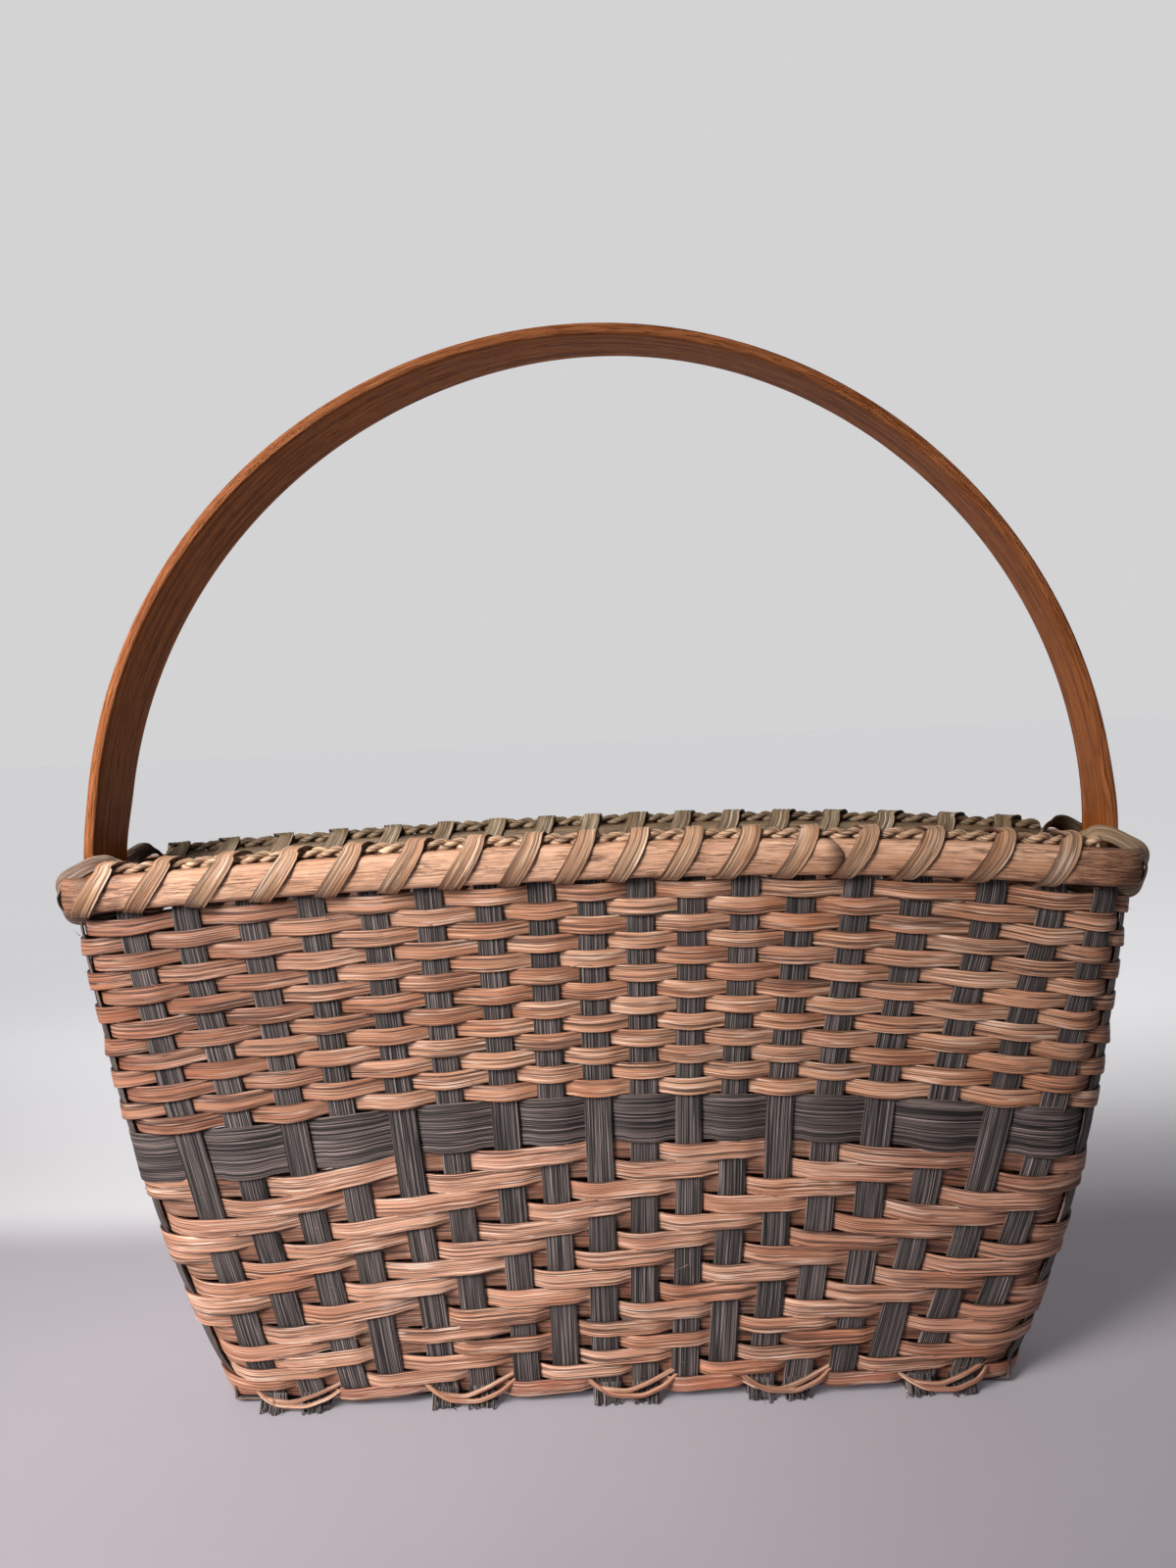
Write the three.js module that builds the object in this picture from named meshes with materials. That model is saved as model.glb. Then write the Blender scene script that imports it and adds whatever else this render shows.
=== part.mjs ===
// Reed basket: a long, shallow, flared basket woven from flat reed on dark flat stakes,
// with a bent wood handle held between two rims that are lashed together.
// Millimetres, +Z up. X runs along the basket, the front long side faces -Y.
// The origin is the middle of the underside, on the surface that the basket stands on.

import * as THREE from "three";

// Stakes: the flat dark strips that stand in the walls and cross in the base
const stakeWidth = 9.2;
const stakeThickness = 0.9;
const crossStakeCount = 18;
const lengthStakeCount = 4;

// Weavers: the flat natural strips that go round the walls
const footReedHeight = 4.6;
const footReedCount = 5;
const lowerReedHeight = 5.7;
const lowerReedCount = 10;
const upperReedHeight = 5;
const upperReedCount = 13;
const bandHeight = 16;
const reedThickness = 1;
const rowGap = 0.5;

// Clearance between pieces that touch on the real basket
const fit = 0.3;

// Bare stretch between neighbouring stakes, at the foot, at the rim and on the short ends
const footGap = 4.98;
const rimGap = 9.62;
const endGap = 2.4;
const rimEndGap = 5.1;

// Bare stretch from the last stake to the corner
const footCornerRoom = 10.9;
const rimCornerRoom = 12.4;
const footSideRoom = 1.8;
const rimSideRoom = 3.2;

// The weaver set the stakes a little off centre
const footShift = -1.5;
const rimShift = 5.5;

// Each gap between the cross stakes, from the left, as a share of the mean gap
const footGapShares = [
  1.16, 1.16, 0.76, 1.77, 0.76, 1.37, 0.96, 0.96, 0.86,
  0.86, 0.66, 0.96, 0.66, 1.06, 0.66, 1.16, 1.16,
];
const rimGapShares = [
  1.02, 1.23, 1.07, 1.23, 0.97, 1.12, 0.86, 0.76, 0.76,
  0.76, 0.91, 0.91, 0.97, 0.97, 1.43, 1.12, 0.91,
];

// Rows sit lower at the ends of the basket than in the middle of its long sides
const rowDroop = 9;
const droopPeakShare = 0.72;
const leanCurveShare = 0.45;
const wallSegments = 5;
const cornerCutShare = 0.8;

// Base
const bendRadius = 1.2;
const crossover = 1.2;

// Rims, filler, lashing and twining
const rimHeight = 12.2;
const rimThickness = 4.5;
const rimCornerRadius = 3.8;
const rimEdgeShares = { shoulderOut: 0.72, shoulderUp: 0.34 };
const stakeTopInset = 1;
const fillerRadius = 2;
const lashWidth = 6;
const lashThickness = 0.8;
const lashCrownShare = 0.8;
const twineRadius = 0.8;

// Handle
const handleWidth = 26;
const handleThickness = 3.9;
const handleArcRise = 15;
const tailLength = 62;
const tailWidth = 14;
const tailThickness = 2;
const handleCrownShares = { side: 0.1, flat: 0.3 };

// Faceting
const rimSideSteps = 8;
const rimCornerSteps = 3;
const fillerSides = 6;
const twineSides = 5;
const handleArcSteps = 29;

// Levels of the woven base: cross stakes low, lengthwise stakes, cross stakes high
const lowLevel = stakeThickness / 2;
const middleLevel = lowLevel + stakeThickness + fit;
const highLevel = middleLevel + stakeThickness + fit;

// Heights, measured up the middle of a long side
const footRowBottom = highLevel + stakeThickness / 2 + fit;
const rows = stackRows();
const wovenTop = rows[rows.length - 1].top;
const rimBottom = wovenTop + lashThickness + 2 * fit;
const rimTop = rimBottom + rimHeight;
const droopStart = rows[0].top;

// Half sizes of the wall, to the middle of the stakes' thickness
const crossSum = crossStakeCount * stakeWidth;
const lengthSum = lengthStakeCount * stakeWidth;
const crossGaps = crossStakeCount - 1;
const lengthGaps = lengthStakeCount - 1;
const baseHalfLength = (crossSum + crossGaps * footGap) / 2 + footCornerRoom;
const rimHalfLength = (crossSum + crossGaps * rimGap) / 2 + rimCornerRoom;
const baseHalfDepth = (lengthSum + lengthGaps * endGap) / 2 + footSideRoom;
const rimHalfDepth = (lengthSum + lengthGaps * rimEndGap) / 2 + rimSideRoom;

// Room that a weaver takes beside a stake, from the stake's middle
const weaverInner = stakeThickness / 2 + fit;
const weaverOuter = weaverInner + reedThickness;

// Colours
const darkStake = { color: 0x3b3a3c, roughness: 0.8, metalness: 0 };
const naturalReed = { color: 0xc08a62, roughness: 0.7, metalness: 0 };
const rimReed = { color: 0xb08f6c, roughness: 0.65, metalness: 0 };
const seagrass = { color: 0x8a7752, roughness: 0.9, metalness: 0 };
const handleWood = { color: 0x8a4a28, roughness: 0.45, metalness: 0 };

// The rows from the foot up, each with its name, its height span and its weave
function stackRows() {
  const kinds = [
    { name: "foot_reed", count: footReedCount, height: footReedHeight },
    { name: "lower_reed", count: lowerReedCount, height: lowerReedHeight },
    { name: "dark_band", count: 1, height: bandHeight },
    { name: "upper_reed", count: upperReedCount, height: upperReedHeight },
  ];
  const stack = [];
  let bottom = footRowBottom;
  for (const kind of kinds) {
    for (let i = 1; i <= kind.count; i += 1) {
      const name = kind.count === 1 ? kind.name : `${kind.name}_${i}`;
      stack.push({ kind: kind.name, name, bottom, top: bottom + kind.height });
      bottom += kind.height + rowGap;
    }
  }
  return stack;
}

// Which stakes show in front of each twill row, as the stake's number over four.
// The twill steps one stake to the side with each row. Near the foot it steps back once.
const twillStarts = [1, 2, 3, 0, 3, 0, 1, 2, 3, 0, 1, 2, 3, 0, 1];

// True where the stake lies outside the row and hides it
function stakeShows(rowIndex, stakeNumber) {
  if (rowIndex < twillStarts.length) {
    const step = (stakeNumber - twillStarts[rowIndex] + 4) % 4;
    return step < 2;
  }
  const plainIndex = rowIndex - twillStarts.length;
  return (stakeNumber + plainIndex) % 2 === 1;
}

// A share of the way from the foot to the rim, straight between the wall's knots
function wallShare(height, curve) {
  const t = Math.min(Math.max(height / wovenTop, 0), 1);
  const knot = Math.min(Math.floor(t * wallSegments), wallSegments - 1);
  const low = curve(knot / wallSegments);
  const high = curve((knot + 1) / wallSegments);
  return low + (high - low) * (t * wallSegments - knot);
}

const flareCurve = (t) => 1 - (1 - t) ** 2;
const leanCurve = (t) => t * (1 + leanCurveShare * (1 - t));

function halfLength(height) {
  return baseHalfLength + (rimHalfLength - baseHalfLength) * wallShare(height, flareCurve);
}

function halfDepth(height) {
  return baseHalfDepth + (rimHalfDepth - baseHalfDepth) * wallShare(height, flareCurve);
}

// How fast a half size grows with height
function growth(span, height) {
  const t = Math.min(Math.max(height / wovenTop, 0), 1);
  return (2 * span * (1 - t)) / wovenTop;
}

// How far a row has sunk at the ends of the basket
function droopAt(height) {
  const peak = droopStart + (rimTop - droopStart) * droopPeakShare;
  const way = Math.min(Math.max((height - droopStart) / (peak - droopStart), 0), 2);
  return rowDroop * (1 - (way - 1) ** 2);
}

// The walls in the order that a row takes them, each with its direction of travel
const walls = [
  { along: new THREE.Vector2(1, 0), out: new THREE.Vector2(0, -1), long: true },
  { along: new THREE.Vector2(0, 1), out: new THREE.Vector2(1, 0), long: false },
  { along: new THREE.Vector2(-1, 0), out: new THREE.Vector2(0, 1), long: true },
  { along: new THREE.Vector2(0, -1), out: new THREE.Vector2(-1, 0), long: false },
];
const [frontWall, rightWall, backWall, leftWall] = walls;

// A point of a wall: along it from its middle, up it, and out from the middle of the stakes
function wallPoint(wall, along, height, out) {
  const reach = wall.long ? halfDepth(height) : halfLength(height);
  const span = wall.long ? rimHalfDepth - baseHalfDepth : rimHalfLength - baseHalfLength;
  const slope = Math.atan(growth(span, height));
  const level = reach + out * Math.cos(slope);
  const x = wall.along.x * along + wall.out.x * level;
  const y = wall.along.y * along + wall.out.y * level;
  const endShare = wall.long ? Math.min(Math.abs(x) / halfLength(height), 1) : 1;
  const z = height - droopAt(height) * endShare ** 2 - out * Math.sin(slope);
  return new THREE.Vector3(x, y, z);
}

// Middles of a run of stakes, centred on zero
function stakeMiddles(gap, shares) {
  const middles = [0];
  for (const share of shares) {
    middles.push(middles[middles.length - 1] + stakeWidth + gap * share);
  }
  const half = middles[middles.length - 1] / 2;
  return middles.map((middle) => middle - half);
}

const evenShares = Array(lengthGaps).fill(1);
const crossFoot = stakeMiddles(footGap, footGapShares).map((x) => x + footShift);
const crossRim = stakeMiddles(rimGap, rimGapShares).map((x) => x + rimShift);
const lengthFoot = stakeMiddles(endGap, evenShares);
const lengthRim = stakeMiddles(rimEndGap, evenShares);

function crossStakeX(index, height) {
  const share = wallShare(height, leanCurve);
  return crossFoot[index] + (crossRim[index] - crossFoot[index]) * share;
}

function lengthStakeY(index, height) {
  const share = wallShare(height, flareCurve);
  return lengthFoot[index] + (lengthRim[index] - lengthFoot[index]) * share;
}

// Every upright round the basket, in a row's order, starting at the front left.
// Its place along its wall grows in the direction of travel.
function listUprights() {
  const list = [];
  const last = crossStakeCount - 1;
  const lastLength = lengthStakeCount - 1;
  for (let i = 0; i <= last; i += 1) {
    list.push({ wall: frontWall, place: (h) => crossStakeX(i, h) });
  }
  for (let j = 0; j <= lastLength; j += 1) {
    list.push({ wall: rightWall, place: (h) => lengthStakeY(j, h) });
  }
  for (let i = last; i >= 0; i -= 1) {
    list.push({ wall: backWall, place: (h) => -crossStakeX(i, h) });
  }
  for (let j = lastLength; j >= 0; j -= 1) {
    list.push({ wall: leftWall, place: (h) => -lengthStakeY(j, h) });
  }
  return list;
}

const uprights = listUprights();

// The point where a row turns the corner from one wall to the next, cut back a little
function cornerPoint(wall, nextWall, height, out) {
  const lastEdge = lengthStakeY(lengthStakeCount - 1, height) + stakeWidth / 2 + fit;
  const cut = (halfDepth(height) - lastEdge) * cornerCutShare;
  const reach = (which) => (which.long ? halfDepth(height) : halfLength(height)) + out - cut / 2;
  const x = wall.out.x * reach(wall) + nextWall.out.x * reach(nextWall);
  const y = wall.out.y * reach(wall) + nextWall.out.y * reach(nextWall);
  return new THREE.Vector3(x, y, height - droopAt(height));
}

// A closed body through a run of sections that all have the same number of points
function loft(sections, closed) {
  const sides = sections[0].length;
  const positions = sections.flat().flatMap((p) => [p.x, p.y, p.z]);
  const index = [];
  const spans = closed ? sections.length : sections.length - 1;
  for (let i = 0; i < spans; i += 1) {
    const next = (i + 1) % sections.length;
    for (let k = 0; k < sides; k += 1) {
      const turn = (k + 1) % sides;
      const a = i * sides + k;
      const b = i * sides + turn;
      const c = next * sides + turn;
      const d = next * sides + k;
      index.push(a, b, c, a, c, d);
    }
  }
  if (!closed) {
    const end = (sections.length - 1) * sides;
    for (let k = 1; k < sides - 1; k += 1) {
      index.push(0, k + 1, k);
      index.push(end, end + k, end + k + 1);
    }
  }
  const geometry = new THREE.BufferGeometry();
  geometry.setAttribute("position", new THREE.Float32BufferAttribute(positions, 3));
  geometry.setIndex(volumeOf(positions, index) < 0 ? flipped(index) : index);
  geometry.computeVertexNormals();
  return geometry;
}

function volumeOf(positions, index) {
  const corner = (i) => new THREE.Vector3().fromArray(positions, 3 * i);
  let volume = 0;
  for (let i = 0; i < index.length; i += 3) {
    const a = corner(index[i]);
    const b = corner(index[i + 1]);
    const c = corner(index[i + 2]);
    volume += a.dot(b.cross(c));
  }
  return volume;
}

function flipped(index) {
  const turned = [];
  for (let i = 0; i < index.length; i += 3) {
    turned.push(index[i], index[i + 2], index[i + 1]);
  }
  return turned;
}

const basket = new THREE.Group();
basket.name = "reed_basket";

function addPiece(name, geometry, finish) {
  const mesh = new THREE.Mesh(geometry, new THREE.MeshStandardMaterial(finish));
  mesh.name = name;
  basket.add(mesh);
}

// The section of a row at one place: its flat inner face and, outside, a crown or a flat face
function rowSection(row, point, side) {
  const middle = (row.bottom + row.top) / 2;
  const inner = side * (weaverInner + reedThickness / 2) - reedThickness / 2;
  const outer = inner + reedThickness;
  if (row.kind === "dark_band") {
    return [
      point(row.bottom, inner),
      point(row.top, inner),
      point(row.top, outer),
      point(row.bottom, outer),
    ];
  }
  return [point(row.bottom, inner), point(row.top, inner), point(middle, outer)];
}

// A row: flat across each stake, inside or outside it, and slanting through the gaps
function wovenRow(row, rowIndex) {
  const sides = uprights.map((_, k) => (stakeShows(rowIndex, k + 1) ? -1 : 1));
  const count = uprights.length;
  const edge = stakeWidth / 2 + fit;
  const sections = [];
  for (let k = 0; k < count; k += 1) {
    const here = uprights[k];
    const before = uprights[(k + count - 1) % count];
    const after = uprights[(k + 1) % count];
    const sideBefore = sides[(k + count - 1) % count];
    const sideAfter = sides[(k + 1) % count];
    const atEdge = (sign) => (h, out) => wallPoint(here.wall, here.place(h) + sign * edge, h, out);
    if (before.wall !== here.wall || sideBefore !== sides[k]) {
      sections.push(rowSection(row, atEdge(-1), sides[k]));
    }
    if (after.wall !== here.wall || sideAfter !== sides[k]) {
      sections.push(rowSection(row, atEdge(1), sides[k]));
    }
    if (after.wall !== here.wall) {
      const turning = (h, out) => cornerPoint(here.wall, after.wall, h, out);
      sections.push(rowSection(row, turning, (sides[k] + sideAfter) / 2));
    }
  }
  return loft(sections, true);
}

rows.forEach((row, rowIndex) => {
  const finish = row.kind === "dark_band" ? darkStake : naturalReed;
  addPiece(row.name, wovenRow(row, rowIndex), finish);
});

// Stakes

const wallHeights = [rimTop - stakeTopInset];
for (let i = wallSegments; i > 0; i -= 1) {
  wallHeights.push((wovenTop * i) / wallSegments);
}

// The sections of a stake down one wall, from its top to its bend at the base
function wallStretch(wall, place, level) {
  const heights = [...wallHeights, level + bendRadius];
  const half = stakeWidth / 2;
  const deep = stakeThickness / 2;
  return heights.map((h) => [
    wallPoint(wall, place(h) - half, h, -deep),
    wallPoint(wall, place(h) + half, h, -deep),
    wallPoint(wall, place(h) + half, h, deep),
    wallPoint(wall, place(h) - half, h, deep),
  ]);
}

// One section of a stake where it lies flat in the base
function baseSection(middle, level, widthAlong) {
  const half = widthAlong.clone().multiplyScalar(stakeWidth / 2);
  const corner = (sign, up) =>
    new THREE.Vector3(middle.x + sign * half.x, middle.y + sign * half.y, level + up);
  const deep = stakeThickness / 2;
  return [corner(-1, deep), corner(1, deep), corner(1, -deep), corner(-1, -deep)];
}

// The same section seen from the other end of the stake
function turnedRound(section) {
  const [a, b, c, d] = section;
  return [b, a, d, c];
}

// A cross stake lies low where it shows outside the foot row, and steps up past the middle
function crossStake(index) {
  const frontNumber = index + 1;
  const lowInFront = stakeShows(0, frontNumber);
  const frontLevel = lowInFront ? lowLevel : highLevel;
  const backLevel = lowInFront ? highLevel : lowLevel;
  const x = crossFoot[index];
  const edge = baseHalfDepth - bendRadius;
  const across = new THREE.Vector2(1, 0);
  const flat = (y, level) => baseSection(new THREE.Vector2(x, y), level, across);
  const front = wallStretch(frontWall, (h) => crossStakeX(index, h), frontLevel);
  const back = wallStretch(backWall, (h) => -crossStakeX(index, h), backLevel);
  return loft([
    ...front,
    flat(-edge, frontLevel),
    flat(-crossover, frontLevel),
    flat(crossover, backLevel),
    flat(edge, backLevel),
    ...back.reverse().map(turnedRound),
  ], false);
}

function lengthStake(index) {
  const y = lengthFoot[index];
  const edge = baseHalfLength - bendRadius;
  const across = new THREE.Vector2(0, -1);
  const flat = (x) => baseSection(new THREE.Vector2(x, y), middleLevel, across);
  const left = wallStretch(leftWall, (h) => -lengthStakeY(index, h), middleLevel);
  const right = wallStretch(rightWall, (h) => lengthStakeY(index, h), middleLevel);
  return loft([
    ...left,
    flat(-edge),
    flat(edge),
    ...right.reverse().map(turnedRound),
  ], false);
}

for (let i = 0; i < crossStakeCount; i += 1) {
  addPiece(`cross_stake_${i + 1}`, crossStake(i), darkStake);
}
for (let j = 0; j < lengthStakeCount; j += 1) {
  addPiece(`length_stake_${j + 1}`, lengthStake(j), darkStake);
}

// Rims

// Places round a rounded rectangle, each with its direction out, starting at the front left
function ringPlaces(halfX, halfY, radius) {
  const corners = [
    { x: 1, y: -1, start: -Math.PI / 2 },
    { x: 1, y: 1, start: 0 },
    { x: -1, y: 1, start: Math.PI / 2 },
    { x: -1, y: -1, start: Math.PI },
  ];
  const places = [];
  for (let s = 1; s < rimSideSteps; s += 1) {
    const share = (2 * s) / rimSideSteps - 1;
    places.push({ x: share * (halfX - radius), y: -halfY, out: new THREE.Vector2(0, -1) });
  }
  corners.forEach((corner, c) => {
    for (let s = 0; s <= rimCornerSteps; s += 1) {
      const angle = corner.start + (Math.PI / 2) * (s / rimCornerSteps);
      const out = new THREE.Vector2(Math.cos(angle), Math.sin(angle));
      places.push({
        x: corner.x * (halfX - radius) + radius * out.x,
        y: corner.y * (halfY - radius) + radius * out.y,
        out,
      });
    }
    if (c === 1) {
      for (let s = 1; s < rimSideSteps; s += 1) {
        const share = 1 - (2 * s) / rimSideSteps;
        places.push({ x: share * (halfX - radius), y: halfY, out: new THREE.Vector2(0, 1) });
      }
    }
  });
  return places;
}

// How far the rim has sunk at a place along the basket
function rimSink(x) {
  const share = Math.min(Math.abs(x) / rimHalfLength, 1);
  return droopAt(wovenTop) * share ** 2;
}

function ringPoint(place, out, height) {
  const x = place.x + place.out.x * out;
  const y = place.y + place.out.y * out;
  return new THREE.Vector3(x, y, height - rimSink(place.x));
}

// A rim lath: flat against the stakes and crowned on its other face
function rimLath(halfX, halfY, radius, facing) {
  const half = rimHeight / 2;
  const middle = rimBottom + half;
  const shoulder = facing * rimThickness * rimEdgeShares.shoulderOut;
  const rise = rimHeight * rimEdgeShares.shoulderUp;
  const sections = ringPlaces(halfX, halfY, radius).map((place) => [
    ringPoint(place, 0, middle - half),
    ringPoint(place, shoulder, middle - rise),
    ringPoint(place, facing * rimThickness, middle),
    ringPoint(place, shoulder, middle + rise),
    ringPoint(place, 0, middle + half),
  ]);
  return loft(sections, true);
}

// The handle passes inside the weavers that lie behind the end stakes
const handleOuter = rimHalfLength - weaverOuter - fit;
const handleInner = handleOuter - handleThickness;

const outerRimLength = rimHalfLength + weaverInner;
const outerRimDepth = rimHalfDepth + weaverInner;
const innerRimLength = handleInner - fit;
const innerRimDepth = rimHalfDepth - weaverInner;

const wideCorner = rimCornerRadius + rimThickness;

addPiece("outer_rim", rimLath(outerRimLength, outerRimDepth, rimCornerRadius, 1), rimReed);
addPiece("inner_rim", rimLath(innerRimLength, innerRimDepth, wideCorner, -1), rimReed);

// The filler: a twisted cord laid over the joint between the rims, outside the handle
const fillerHeight = rimTop + fillerRadius + fit;

function ringTube(places, height, radius, sides) {
  const sections = places.map((place) => {
    const section = [];
    for (let s = 0; s < sides; s += 1) {
      const angle = (2 * Math.PI * s) / sides;
      section.push(ringPoint(place, radius * Math.cos(angle), height + radius * Math.sin(angle)));
    }
    return section;
  });
  return loft(sections, true);
}

const fillerLength = handleOuter + fit + fillerRadius;
const fillerPlaces = ringPlaces(fillerLength, rimHalfDepth, wideCorner);
addPiece("rim_filler", ringTube(fillerPlaces, fillerHeight, fillerRadius, fillerSides), seagrass);

// Lashing

// How far along the rim a turn has come when it reaches each corner of its section
const lashWayShares = {
  outerLow: 0.1, outerHigh: 0.4, crownOuter: 0.5, crownInner: 0.52, innerHigh: 0.62, innerLow: 0.9,
};

// One turn of the lashing in section: the way out from the middle of the stakes, and the height.
// It climbs the outer rim, crosses the filler, comes down the inner rim and passes below.
function lashTurn() {
  const way = lashWayShares;
  const half = lashThickness / 2;
  const low = wovenTop + fit + half;
  const middle = rimBottom + rimHeight / 2;
  const face = weaverInner + rimThickness + fit + half;
  const bend = rimHeight * rimEdgeShares.shoulderUp + fit + half;
  const crown = fillerHeight + fillerRadius + fit + half;
  const crownOut = fillerRadius * lashCrownShare;
  return [
    { out: weaverInner, height: low, share: 0 },
    { out: face, height: middle - bend, share: way.outerLow },
    { out: face, height: middle + bend, share: way.outerHigh },
    { out: crownOut, height: crown, share: way.crownOuter },
    { out: -crownOut, height: crown, share: way.crownInner },
    { out: -face, height: middle + bend, share: way.innerHigh },
    { out: -face, height: middle - bend, share: way.innerLow },
    { out: -weaverInner, height: low, share: 1 },
  ];
}

// A winding through a run of gaps along one long side
function lashing(name, wall, gapPlaces) {
  const turn = lashTurn();
  const route = [];
  for (let g = 0; g < gapPlaces.length; g += 1) {
    const from = gapPlaces[g];
    const isLast = g === gapPlaces.length - 1;
    const to = isLast ? from : gapPlaces[g + 1];
    const steps = isLast ? turn.slice(0, 1) : turn;
    for (const step of steps) {
      const along = from + (to - from) * step.share;
      route.push({ along, out: step.out, height: step.height });
    }
  }
  const points = route.map((stop) => lashPoint(wall, stop, 0));
  const sections = route.map((stop, i) => {
    const before = points[Math.max(i - 1, 0)];
    const after = points[Math.min(i + 1, points.length - 1)];
    return lashSection(wall, stop, new THREE.Vector3().subVectors(after, before));
  });
  printLeastGap(name, points);
  addPiece(name, loft(sections, false), naturalReed);
}

function lashPoint(wall, stop, aside) {
  const x = wall.along.x * (stop.along + aside);
  const y = wall.out.y * (rimHalfDepth + stop.out);
  return new THREE.Vector3(x, y, stop.height - rimSink(x));
}

// A flat section: wide along the rim, thin across the way that the strip goes
function lashSection(wall, stop, way) {
  const left = lashPoint(wall, stop, -lashWidth / 2);
  const right = lashPoint(wall, stop, lashWidth / 2);
  const wide = new THREE.Vector3().subVectors(right, left);
  const thin = new THREE.Vector3().crossVectors(way, wide).setLength(lashThickness / 2);
  return [
    left.clone().sub(thin),
    right.clone().sub(thin),
    right.clone().add(thin),
    left.clone().add(thin),
  ];
}

// The least distance between two turns of a winding, less its width
function printLeastGap(name, route) {
  const turnLength = lashTurn().length;
  let least = Infinity;
  for (let i = 0; i < route.length; i += 1) {
    for (let j = i + turnLength; j < route.length; j += 1) {
      least = Math.min(least, route[i].distanceTo(route[j]));
    }
  }
  console.log(`${name}: least gap to itself ${(least - lashWidth).toFixed(2)} mm`);
}

// The places of the gaps between the stakes of a long side, at the rim, in the order of travel
function gapMiddles(wall) {
  const places = crossRim.map((x) => x * wall.along.x).sort((a, b) => a - b);
  const gaps = places.slice(1).map((place, i) => (place + places[i]) / 2);
  const room = stakeWidth / 2 + fit + lashWidth / 2;
  return { gaps, before: places[0] - room, after: places[places.length - 1] + room };
}

const frontGaps = gapMiddles(frontWall);
const backGaps = gapMiddles(backWall);
lashing("front_lashing", frontWall, [frontGaps.before, ...frontGaps.gaps]);
lashing("back_lashing", backWall, [...backGaps.gaps, backGaps.after]);

// Base twining: a thin round reed, outside the stakes that cover the foot row, under the others
function baseTwining() {
  const count = uprights.length;
  const edge = stakeWidth / 2 + fit;
  const outside = stakeThickness / 2 + fit + twineRadius;
  const outs = uprights.map((_, k) => (stakeShows(0, k + 1) ? outside : twineRadius));
  const sections = [];
  for (let k = 0; k < count; k += 1) {
    const here = uprights[k];
    const before = uprights[(k + count - 1) % count];
    const after = uprights[(k + 1) % count];
    const outBefore = outs[(k + count - 1) % count];
    const outAfter = outs[(k + 1) % count];
    const atEdge = (sign) => (out) => wallPoint(here.wall, here.place(0) + sign * edge, 0, out);
    if (before.wall !== here.wall || outBefore !== outs[k]) {
      sections.push(twineSection(atEdge(-1), outs[k]));
    }
    if (after.wall !== here.wall || outAfter !== outs[k]) {
      sections.push(twineSection(atEdge(1), outs[k]));
    }
    if (after.wall !== here.wall) {
      const turning = (out) => cornerPoint(here.wall, after.wall, 0, out);
      sections.push(twineSection(turning, (outs[k] + outAfter) / 2));
    }
  }
  return loft(sections, true);
}

function twineSection(point, out) {
  const section = [];
  for (let s = 0; s < twineSides; s += 1) {
    const angle = (2 * Math.PI * s) / twineSides;
    const around = point(out + twineRadius * Math.cos(angle));
    around.z = twineRadius + fit + twineRadius * Math.sin(angle);
    section.push(around);
  }
  return section;
}

addPiece("base_twining", baseTwining(), naturalReed);

// Handle

// One section of the handle: flat inside and crowned outside.
// out is the way out in the plane of the arch, and face is the point on its outer face.
function handleSection(face, out, width, thickness) {
  const half = width / 2;
  const side = thickness * (handleCrownShares.side - 1 / 2);
  const flat = width * handleCrownShares.flat;
  const corner = (y, depth) => face.clone()
    .addScaledVector(out, depth)
    .add(new THREE.Vector3(0, y, 0));
  return [
    corner(-half, -thickness),
    corner(half, -thickness),
    corner(half, side),
    corner(flat, 0),
    corner(-flat, 0),
    corner(-half, side),
  ];
}

// The tail of one leg inside the end wall, from its tip to the rim
function handleTail(wall) {
  const room = weaverOuter + fit;
  const tip = wovenTop - tailLength;
  const heights = [tip];
  for (let i = 1; i < wallSegments; i += 1) {
    const knot = (wovenTop * i) / wallSegments;
    if (knot > tip) {
      heights.push(knot);
    }
  }
  heights.push(wovenTop);
  return heights.map((h) => {
    const share = (h - tip) / tailLength;
    const width = tailWidth + (handleWidth - tailWidth) * share;
    const thickness = tailThickness + (handleThickness - tailThickness) * share;
    const face = wallPoint(wall, 0, h, -room);
    const out = wallPoint(wall, 0, h, 0).sub(face).normalize();
    return handleSection(face, out, width, thickness);
  });
}

function handle() {
  const springing = rimBottom - droopAt(wovenTop) + handleArcRise;
  const arc = [];
  for (let s = 0; s <= handleArcSteps; s += 1) {
    const angle = Math.PI * (1 - s / handleArcSteps);
    const out = new THREE.Vector3(Math.cos(angle), 0, Math.sin(angle));
    const face = out.clone().multiplyScalar(handleOuter);
    face.z += springing;
    arc.push(handleSection(face, out, handleWidth, handleThickness));
  }
  return loft([...handleTail(leftWall), ...arc, ...handleTail(rightWall).reverse()], false);
}

addPiece("handle", handle(), handleWood);

export default basket;
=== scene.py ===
"""The looks of a long flared reed basket with a bent wood handle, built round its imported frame.

Sizes and places are in millimetres in the row frame, unless a name says otherwise.
X runs along the long sides, -Y faces the camera and +Z is up.
"""

import math

import bpy
import numpy as np
from mathutils import Matrix, Vector


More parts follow.
